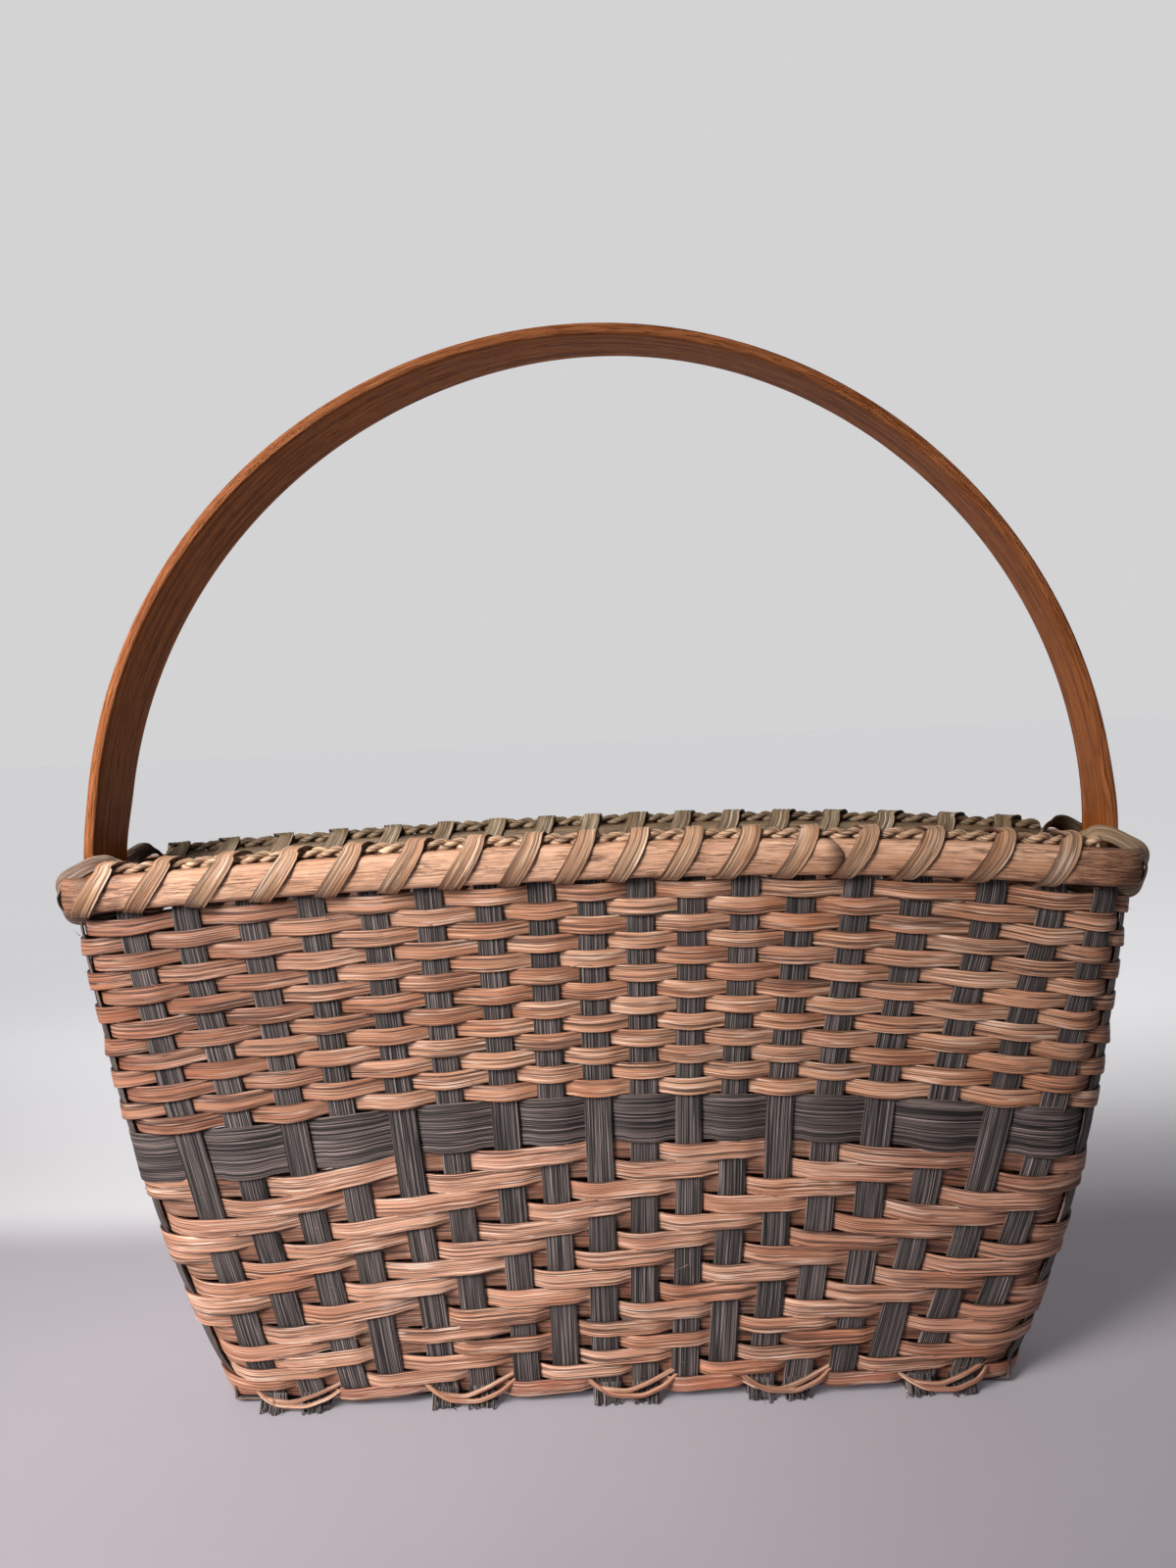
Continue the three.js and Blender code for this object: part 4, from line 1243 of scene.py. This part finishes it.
def make_lashing(name, wall, places, seed, material):
    along, front = WALL_ALONG[wall][0], WALL_OUT[wall][1]
    turn = lash_turn()
    stops = []
    for here, following in zip(places[:-1], places[1:]):
        for out, z, share in turn:
            fan = LASH_DRIFT + LASH_FAN * share_past(out, -LASH_FAN_REACH, 2 * LASH_FAN_REACH)
            stops.append((here + (following - here) * share + fan * here, out, z))
    stops.append((places[-1] * (1 + LASH_DRIFT), *turn[0][:2]))
    curve = catmull(np.array(stops), LASH_STEPS)
    x = along * curve[:, 0]
    points = np.column_stack([x, front * (RIM_HALF_DEPTH + curve[:, 1]), curve[:, 2] - rim_sink(x)])
    above = curve[:, 2] - (RIM_MIDDLE + LASH_PIVOT_RISE)
    outward = np.column_stack([np.zeros(len(x)), front * curve[:, 1], above * LASH_FACING])
    solid = Solid()
    add_lash(solid, points, unit(outward), LASH_WIDTH, seed)
    solid.finish(f"wound_{name}", material, "lashing_reed", [name])


def rim_gaps(sign):
    """Middles of the gaps between the stakes at the rim, in a wall's own direction."""
    places = sorted(sign * ends[1] for ends in CROSS_ENDS)
    gaps = [(a + b) / 2 for a, b in zip(places, places[1:])]
    room = STAKE_WIDTH / 2 + LASH_WIDTH / 2 + FIT
    return places[0] - room, gaps, places[-1] + room


def make_lashings():
    before, gaps, _ = rim_gaps(1)
    make_lashing("front_lashing", FRONT, [before, *gaps], SEEDS["lashing"], LASH)
    _, gaps, after = rim_gaps(-1)
    make_lashing("back_lashing", BACK, [*gaps, after], SEEDS["lashing"] + 1, SHADED_BACK_LASH)


# Wraps at the ends: one round each corner of the rims, and a cross over each leg of the handle

WRAP_WIDTH = 7.4
WRAP_TURN_DEGREES = 22.0
WRAP_INNER = -10.6
WRAP_PIVOT = -0.8
WRAP_FACING = 0.9
WRAP_LEAN = 0.7
WRAP_LEAN_RISE = 6.0
WRAP_UNDER_LEAN = 1.1
WRAP_UNDER_SHIFT = 3.0
LEG_WRAP_REACH = 12.0
LEG_WRAP_FACING = 0.5


def corner_wrap(solid, side, front, seed):
    """A strip round both rims at a corner. Side and front are signs along X and Y."""
    outer = RIM_CORNER_RADIUS + RIM_THICKNESS - END_THINNING + RIM_EASE + LASH_LIFT
    stops = np.array([
        (WRAP_INNER + 4.0, RIM_BOTTOM - 1.2, 0.0),
        (WRAP_INNER + 0.9, RIM_BOTTOM + 1.0, 0.0),
        (WRAP_INNER, RIM_MIDDLE, 0.0),
        (WRAP_INNER + 0.4, RIM_MIDDLE + 3.8, 0.0),
        (WRAP_INNER + 1.6, RIM_TOP + 0.2, 0.0),
        (WRAP_INNER + 4.5, RIM_TOP + 1.9, 0.0),
        (-4.0, RIM_TOP + 3.2, 0.3),
        (0.3, RIM_TOP + 3.2, 0.6),
        (5.6, RIM_TOP + 1.0, 0.4),
        (outer - 1.2, RIM_MIDDLE + 4.2, 0.0),
        (outer, RIM_MIDDLE, 0.0),
        (outer - 1.0, RIM_MIDDLE - 4.4, 0.4),
        (outer - 3.6, RIM_BOTTOM - 0.6, 1.6),
        (2.0, RIM_BOTTOM - 1.5, 3.6),
        (-4.0, RIM_BOTTOM - 1.4, 5.2),
        (-10.0, RIM_BOTTOM - 0.6, 5.6),
        (-15.0, RIM_BOTTOM + 0.8, 4.6),
    ])
    way_out, height, shift = catmull(stops, LASH_STEPS).T
    turn = math.radians(WRAP_TURN_DEGREES)
    ahead = np.array([side * math.cos(turn), front * math.sin(turn)])
    aside = np.array([-side * math.sin(turn), front * math.cos(turn)])
    corner = np.array([side * (RIM_HALF_LENGTH + WEAVER_INNER - RIM_CORNER_RADIUS),
                       front * (RIM_HALF_DEPTH + WEAVER_INNER - RIM_CORNER_RADIUS)])
    flat = corner + np.outer(way_out, ahead) + np.outer(shift, aside)
    points = lifted(flat, height - rim_sink(flat[:, 0]))
    normal = lifted(np.outer(way_out - WRAP_PIVOT, ahead), (height - RIM_MIDDLE) * WRAP_FACING)
    rise = (height - RIM_MIDDLE) / WRAP_LEAN_RISE
    under = np.clip(shift / WRAP_UNDER_SHIFT, 0, 1) * np.clip(-rise, 0, 1)
    lean = WRAP_LEAN * np.clip(rise, 0, 1) + WRAP_UNDER_LEAN * under
    outward = unit(unit(normal) + lifted(np.outer(lean, aside), 0))
    add_lash(solid, points, outward, WRAP_WIDTH, seed)


def leg_wrap(solid, side, start, finish, lift, seed):
    """A strip over both rims at a leg of the handle, slanting from one side of it to the other."""
    outer = RIM_HALF_LENGTH + WEAVER_INNER + RIM_EASE
    face = outer + RIM_THICKNESS - END_THINNING + LASH_LIFT
    stops = np.array([
        (outer + 0.2, RIM_BOTTOM - LASH_LIFT, 0.0),
        (outer + 1.2, RIM_BOTTOM - LASH_LIFT, 0.05),
        (face - 0.5, RIM_MIDDLE - 4.8, 0.16),
        (face, RIM_MIDDLE, 0.5),
        (face - 0.5, RIM_MIDDLE + 4.4, 0.84),
        (outer + 1.6, RIM_TOP + 0.6, 0.97),
        (outer - 1.0, RIM_TOP + 0.4, 1.0),
    ])
    way_out, height, share = catmull(stops, LASH_STEPS).T
    x = side * way_out
    points = np.column_stack([x, start + (finish - start) * share, height - rim_sink(x)])
    above = (height - RIM_MIDDLE) * LEG_WRAP_FACING
    outward = unit(np.column_stack([side * (way_out - outer), np.zeros(len(x)), above]))
    add_lash(solid, points + outward * lift, outward, LASH_WIDTH, seed)


def make_end_wraps():
    for side, label, material in ((-1, "left", SHADED_LEFT_WRAP), (1, "right", SHADED_RIGHT_WRAP)):
        solid = Solid()
        for number, front in enumerate((-1, 1)):
            corner_wrap(solid, side, front, SEEDS["corner_wraps"] + 3 * number + side)
            start, lift = front * LEG_WRAP_REACH, number * LASH_THICKNESS
            leg_wrap(solid, side, start, -start, lift, SEEDS["leg_wraps"] + 4 * number + side)
        solid.finish(f"{label}_handle_wraps", material, "lashing_reed")


# Twining round the foot, in loops of places along the wall, out of it and up it

TWINE_SIDES = 7
TWINE_STEP = 1.2
TWINE_LEVEL = 2.0
TWINE_SAG_SPREAD = 0.35
TWINE_SOFTNESS = (2.6, 4.2)
TWINE_LOOPS = [
    [(-9.0, -1.4, 9.0), (-4.5, 1.8, 5.6), (1.5, 3.6, 2.6),
     (12.0, 4.2, 2.4), (20.0, 3.0, 5.2), (26.0, -1.4, 9.0)],
    [(-7.0, -1.4, 5.6), (-2.0, 2.4, 4.4), (7.0, 3.4, 3.7),
     (15.0, 2.6, 6.4), (22.0, 0.6, 9.2), (27.0, -1.4, 10.8)],
]


def twine_strand(solid, loop, seed):
    """A thin reed that hangs in a loop outside each low pair of stakes and hides between the pairs."""
    rng = np.random.default_rng(seed)
    ring = row_ring(TWINE_LEVEL)
    knots = []
    for k, upright in enumerate(UPRIGHTS):
        if stake_shows(0, k + 1) and not stake_shows(0, k):
            start = ring.upright_distance(upright, TWINE_LEVEL)
            deep = rng.normal(0, TWINE_SAG_SPREAD)
            knots += [(start + along, off, z + deep) for along, off, z in loop]
    knots.sort()
    places, *values = np.array(knots).T
    around = np.linspace(0, ring.total, int(ring.total / TWINE_STEP))
    offs, heights = [smooth_round(around, places, value, ring.total, softness)
                     for value, softness in zip(values, TWINE_SOFTNESS)]
    place, out2 = ring.at(around)
    add_tube(solid, lifted(place + out2 * offs[:, None], heights), TWINE_RADIUS, TWINE_SIDES, seed)


def make_twining():
    solid = Solid()
    for number, loop in enumerate(TWINE_LOOPS):
        twine_strand(solid, loop, SEEDS["twining"] + number)
    solid.finish("twined_base_twining", TWINE, "twining_reed", ["base_twining"])


# Ragged stubs of splint that stick out from under the low pairs of stakes

STUB_PROFILE = np.array([(-0.5, 0.3), (0.5, 0.3), (0.5, -0.5), (-0.5, -0.5)])
STUB_LEVEL = 2.0
STUB_START = 0.9
STUB_REACH = 4.1
STUB_REACH_SPREAD = 0.7
STUB_DRIFT = 0.15
STUB_TOP = 6.0
STUB_BOTTOM = 0.35
STUB_THICKNESS = 0.5
STUB_OVERLAP = 0.12
STUB_TAPER = 0.35
STUB_OUT_POWER = 1.3
STUB_DOWN_POWER = 1.2
STUB_ROWS = 7
STUB_SPLITS = 12
FRAY_HALF_WIDTH = 0.48 * STAKE_WIDTH


def low_feet(height):
    """Each low end of a cross stake at the foot: its number, its place along X and its side."""
    for i in range(CROSS_STAKES):
        for wall, front in ((FRONT, -1), (BACK, 1)):
            if stake_shows(0, stake_number(wall, i)):
                yield i, float(cross_x(i, height)), front


def make_stubs():
    rng = np.random.default_rng(SEEDS["stubs"])
    solid = Solid()
    share = np.linspace(0, 1, STUB_ROWS)
    level = np.tile([1.0, 0.0, 0.0], (STUB_ROWS, 1))
    spread = np.linspace(-FRAY_HALF_WIDTH, FRAY_HALF_WIDTH, STUB_SPLITS + 1)
    for i, middle, front in low_feet(STUB_LEVEL):
        for left, right in zip(spread[:-1], spread[1:]):
            reach = STUB_REACH + rng.normal(0, STUB_REACH_SPREAD)
            spot = middle + (left + right) / 2 + rng.normal(0, STUB_DRIFT) * share
            out = BASE_HALF_DEPTH + STUB_START + (reach - STUB_START) * share ** STUB_OUT_POWER
            height = STUB_TOP * (1 - share) ** STUB_DOWN_POWER + STUB_BOTTOM
            line = np.column_stack([spot, front * out, height])
            outward = unit(np.cross(unit(np.gradient(line, axis=0)), level)) * front
            width = (right - left + STUB_OVERLAP) * (1 - STUB_TAPER * share ** 4)
            sections = strip_sections(line, level, outward, width, STUB_THICKNESS, STUB_PROFILE)
            girth = girth_of(STUB_PROFILE, right - left, STUB_THICKNESS) + left
            solid.strip(sections, running_length(line), girth, GRAIN_SEEDS["stubs"] + i)
    solid.finish("stake_stubs", STAKE, "dark_stake")


# Handle

def handle_profile():
    """A flat bar with rounded edges, from its outer face at 0 to its inner face at -1."""
    half = np.array([(-0.5, -0.14), (-0.49, -0.05), (-0.46, -0.01), (-0.3, 0.0), (0.0, 0.0)])
    outer = np.vstack([half, half[-2::-1] * (-1, 1)])
    return np.vstack([outer, outer[::-1] * (1, -1) - (0, 1)])


HANDLE_PROFILE = handle_profile()
HANDLE_EDGE = 0.48
TAIL_STEPS = 30
ARC_STEPS = 140
BULGE_DEGREES = 9.0
FOOT_SPLAY = 0.8
TWIST_START = 0.5
ROLL_DEGREES = 6.5
ROLL_PLACE = 133.0
ROLL_REACH = 62.0
CREST_RISE = 0.9
CREST_PLACE = 78.0
CREST_REACH = 40.0


def handle_tail(side):
    """A tail of the handle inside an end wall: points, directions out, widths and thicknesses."""
    tip = WOVEN_TOP - TAIL_LENGTH
    heights = np.linspace(tip, WOVEN_TOP, TAIL_STEPS)
    share = (heights - tip) / TAIL_LENGTH
    reach = half_length(heights) - (RIM_HALF_LENGTH - HANDLE_OUTER)
    reach = reach + (HANDLE_BULGE + FOOT_SPLAY) * share ** 4
    slope = growth(RIM_HALF_LENGTH - BASE_HALF_LENGTH, heights)
    level = np.zeros(TAIL_STEPS)
    points = np.column_stack([side * reach, level, heights - LEG_SINK])
    out = unit(np.column_stack([level + side, level, -slope]))
    width = TAIL_WIDTH + (HANDLE_WIDTH - TAIL_WIDTH) * share
    thickness = TAIL_THICKNESS + (HANDLE_THICKNESS - TAIL_THICKNESS) * share
    return points, out, width, thickness


def arc_bump(angles, place, reach):
    """A soft hump along the hoop, with its place and reach in degrees."""
    way = np.clip(np.abs(np.degrees(angles) - place) / reach, 0, 1)
    return np.cos(way * math.pi / 2) ** 2


def make_handle():
    springing = RIM_BOTTOM - LEG_SINK + HANDLE_ARC_RISE
    angles = np.linspace(math.pi, 0, ARC_STEPS)
    level = np.zeros(ARC_STEPS)
    arc_out = np.column_stack([np.cos(angles), level, np.sin(angles)])
    free = smooth_step(np.sin(angles) / math.sin(math.radians(BULGE_DEGREES)))
    roll = math.radians(ROLL_DEGREES) * arc_bump(angles, ROLL_PLACE, ROLL_REACH)
    crest = CREST_RISE * arc_bump(angles, CREST_PLACE, CREST_REACH)
    radius = HANDLE_OUTER + HANDLE_BULGE + FOOT_SPLAY * (1 - free) + crest - HANDLE_WIDTH / 2 * np.sin(roll)
    arc = arc_out * radius[:, None] + np.column_stack([HANDLE_SHIFT * free, level, level + springing])
    left = handle_tail(-1)
    right = [part[::-1] for part in handle_tail(1)]
    points = np.vstack([left[0], arc, right[0]])
    out = np.vstack([left[1], arc_out, right[1]])
    width = np.concatenate([left[2], np.full(ARC_STEPS, HANDLE_WIDTH), right[2]])
    thickness = np.concatenate([left[3], np.full(ARC_STEPS, HANDLE_THICKNESS), right[3]])
    tail = np.zeros(TAIL_STEPS)
    twist = math.radians(HANDLE_TWIST_DEGREES) * (TWIST_START + (1 - TWIST_START) * free)
    twist = np.concatenate([tail, twist, tail])
    roll = np.concatenate([tail, roll, tail])[:, None]
    across = np.column_stack([np.sin(twist), np.cos(twist), 0 * twist])
    out = np.column_stack([out[:, 0] * np.cos(twist), -out[:, 0] * np.sin(twist), out[:, 2]])
    out, across = rotate_pair(out, across, roll)
    sections = strip_sections(points, across, out, width, thickness, HANDLE_PROFILE)
    girth = girth_of(HANDLE_PROFILE, HANDLE_WIDTH, HANDLE_THICKNESS)
    outer_face = np.where(HANDLE_PROFILE[:, 1] > -0.5, 0.5, 0.0)
    tone = np.where(np.abs(HANDLE_PROFILE[:, 0]) > HANDLE_EDGE, 1.0, outer_face)
    solid = Solid()
    solid.strip(sections, running_length(points), girth, GRAIN_SEEDS["handle"], tone)
    solid.finish("bent_handle", WOOD, "handle_wood", ["handle"])


# Loose fibres and splinters

FIBRE_STEPS = 5
FIBRE_SIDES = 3
FIBRE_TIP_SHARE = 0.05
REED_HAIRS = 150
HAIR_RADIUS = 0.11
HAIR_LENGTHS = (1.5, 4.5)
DARK_HAIRS = 90
DARK_HAIR_RADIUS = 0.14
DARK_HAIR_LENGTHS = (2.5, 6.0)
HAIR_EDGE_SHARE = 0.46
HAIR_STANDOFF = 1.6
HAIR_LIFTS = (0.1, 0.5)
HAIR_RISE = 0.5
HAIR_BEND = 0.45

# Frays of the low stakes, with their ways out from the wall, heights and lengths
STUB_FRAYS = 9
FRAY_RADIUS = 0.16
FRAY_LEVEL = 1.0
FRAY_OUT = (2.5, 4.4)
FRAY_HEIGHTS = (0.3, 1.6)
FRAY_LENGTHS = (1.0, 3.2)
FRAY_SPREAD = 0.7
FRAY_LIFTS = (0.4, 1.0)
FRAY_RISES = (-0.5, 0.3)
FRAY_BEND = 0.4


def add_hair(solid, root, direction, bend, length, radius, seed):
    """A thin tapered fibre that curves from its root towards a bend direction."""
    steps = np.linspace(0, 1, FIBRE_STEPS)[:, None]
    line = root + direction * length * steps + bend * length * 0.5 * steps ** 2
    line[:, 2] = np.maximum(line[:, 2], radius)
    add_tube(solid, line, radius * (1 + FIBRE_TIP_SHARE - steps[:, 0]), FIBRE_SIDES, seed)


def make_hairs(name, material, slot_name, count, lengths, radius):
    """Slivers that have lifted off the edges of the weavers."""
    rng = np.random.default_rng(SEEDS[name])
    solid = Solid()
    for number in range(count):
        row = ROWS[rng.integers(len(ROWS))]
        edge = 1 if rng.random() < 0.5 else -1
        height = row["middle"] + edge * row["width"] * HAIR_EDGE_SHARE
        ring = row_ring(row["middle"])
        place, out2 = ring.at(np.array([rng.uniform(0, ring.total)]))
        out = lifted(out2, 0)[0]
        along = sideways(out2)[0] * rng.choice([-1, 1])
        root = np.array([*place[0], float(sunk(place[0, 0], height))]) + out * HAIR_STANDOFF
        direction = unit(along + out * rng.uniform(*HAIR_LIFTS) + UP * edge * rng.uniform(0, HAIR_RISE))
        bend = rng.normal(0, HAIR_BEND, 3)
        add_hair(solid, root, direction, bend, rng.uniform(*lengths), radius, SEEDS[name] + number)
    solid.finish(name, material, slot_name)


def make_frays():
    """Frayed dark fibres where the low stakes bend under the basket."""
    rng = np.random.default_rng(SEEDS["frays"])
    solid = Solid()
    for i, middle, front in low_feet(FRAY_LEVEL):
        for _ in range(STUB_FRAYS):
            x = middle + rng.uniform(-FRAY_HALF_WIDTH, FRAY_HALF_WIDTH)
            y = front * (BASE_HALF_DEPTH + rng.uniform(*FRAY_OUT))
            root = np.array([x, y, rng.uniform(*FRAY_HEIGHTS)])
            aside, lift = rng.normal(0, FRAY_SPREAD), rng.uniform(*FRAY_LIFTS)
            direction = unit(np.array([aside, front * lift, rng.uniform(*FRAY_RISES)]))
            length = rng.uniform(*FRAY_LENGTHS)
            bend = rng.normal(0, FRAY_BEND, 3)
            add_hair(solid, root, direction, bend, length, FRAY_RADIUS, SEEDS["frays"] + i)
    solid.finish("stake_frays", STAKE, "dark_stake")


# Stage

def make_camera():
    turns = (CAMERA_YAW_DEGREES, CAMERA_PITCH_DEGREES, CAMERA_ROLL_DEGREES)
    yaw, pitch, roll = (math.radians(a) for a in turns)
    forward = Vector((-math.sin(yaw) * math.cos(pitch), math.cos(yaw) * math.cos(pitch), -math.sin(pitch)))
    level = Vector((math.cos(yaw), math.sin(yaw), 0))
    above = level.cross(forward)
    right = math.cos(roll) * level + math.sin(roll) * above
    top = -math.sin(roll) * level + math.cos(roll) * above
    data = bpy.data.cameras.new("camera")
    data.sensor_fit = "VERTICAL"
    data.sensor_height = SENSOR_HEIGHT
    data.lens = SENSOR_HEIGHT * FOCAL_PIXELS / IMAGE_HEIGHT_PIXELS
    data.clip_start = CLIP_START_METRES
    data.clip_end = CLIP_END_METRES
    camera = add_object("camera", data)
    turn = Matrix((right, top, -forward)).transposed()
    camera.matrix_world = Matrix.Translation(Vector(CAMERA_PLACE) * MM) @ turn.to_4x4()
    bpy.context.scene.camera = camera


def add_area_light(name, place, aim, size, power, spread):
    """A soft square light. Place, aim and size are in metres, and the spread of its beam in degrees."""
    data = bpy.data.lights.new(name, "AREA")
    data.spread = math.radians(spread)
    data.size = size
    data.energy = power
    data.color = LIGHT_COLOUR
    light = add_object(name, data)
    direction = Vector(aim) - Vector(place)
    light.matrix_world = Matrix.Translation(place) @ direction.to_track_quat("-Z", "Y").to_matrix().to_4x4()


# Floor, world and lights, in metres
FLOOR_SIZE = 8.0
FLOOR_NEAR = (0.325, 0.30, 0.33)
FLOOR_FAR = (0.60, 0.59, 0.61)
FLOOR_TURN = (0.10, 0.16)
# Painted light: the floor glows faintly near the basket, lifting its shadow, and brightly far behind it
FLOOR_NEAR_GLOW = (0.05, 0.046, 0.051)
FLOOR_FAR_GLOW = (0.46, 0.46, 0.47)
FLOOR_GLOW_TURN = (0.08, 0.5)
WORLD_COLOUR = (0.99, 0.985, 1.0)
WORLD_TURN = (0.1, 0.8)
WORLD_FRONT = 0.125
WORLD_BACK = 0.66
LIGHT_COLOUR = (1.0, 0.98, 0.96)
LIGHTS = [
    ("key", (-0.60, -0.55, 0.60), (-0.14, 0, 0.08), 0.5, 2.55, 56),
    ("fill", (-0.9, -1.0, 0.9), (0, 0, 0.1), 0.6, 1.2, 180),
]


def make_floor():
    """A pale table that turns paler behind the basket, and glows as painted light: faintly near the
    basket, lifting its shadow, and brightly behind it.
    """
    n = Nodes(bpy.data.materials.new("pale_floor"))
    y = n.axis("Object", 1)
    colour = n.blend("MIX", n.fade(y, *FLOOR_TURN), FLOOR_NEAR, FLOOR_FAR)
    soft = n.noise(n.add("ShaderNodeTexCoord").outputs["Object"], scale=6.0, detail=4)
    colour = n.blend("MULTIPLY", 1.0, colour, n.ramp(soft, [(0.3, 0.94), (0.7, 1.0)]))
    glow = n.blend("MIX", n.fade(y, *FLOOR_GLOW_TURN), FLOOR_NEAR_GLOW, FLOOR_FAR_GLOW)
    mesh = bpy.data.meshes.new("floor")
    corners = [(-1, -1), (1, -1), (1, 1), (-1, 1)]
    mesh.from_pydata([(x * FLOOR_SIZE, y * FLOOR_SIZE, 0) for x, y in corners], [], [(0, 1, 2, 3)])
    mesh.materials.append(n.finish(colour, 0.7, [], specular=0.25, glow=glow))
    add_object("floor", mesh)


def make_world():
    """A pale room, brighter behind the basket than in front of it."""
    n = Nodes(bpy.data.worlds.new("studio"))
    strength = n.fade(n.axis("Generated", 1), *WORLD_TURN, WORLD_FRONT, WORLD_BACK)
    back = n.add("ShaderNodeBackground", {"Color": WORLD_COLOUR, "Strength": strength})
    n.add("ShaderNodeOutputWorld", {"Surface": back.outputs[0]})
    bpy.context.scene.world = n.owner


def make_stage():
    make_floor()
    make_world()
    for light in LIGHTS:
        add_area_light(*light)
    bpy.context.scene.view_settings.view_transform = "Standard"


make_camera()
make_rows()
make_stakes()
make_rims()
make_filler()
make_lashings()
make_end_wraps()
make_twining()
make_stubs()
make_handle()
make_hairs("reed_hairs", REED, "natural_reed", REED_HAIRS, HAIR_LENGTHS, HAIR_RADIUS)
make_hairs("dark_hairs", STAKE, "dark_stake", DARK_HAIRS, DARK_HAIR_LENGTHS, DARK_HAIR_RADIUS)
make_frays()
make_stage()
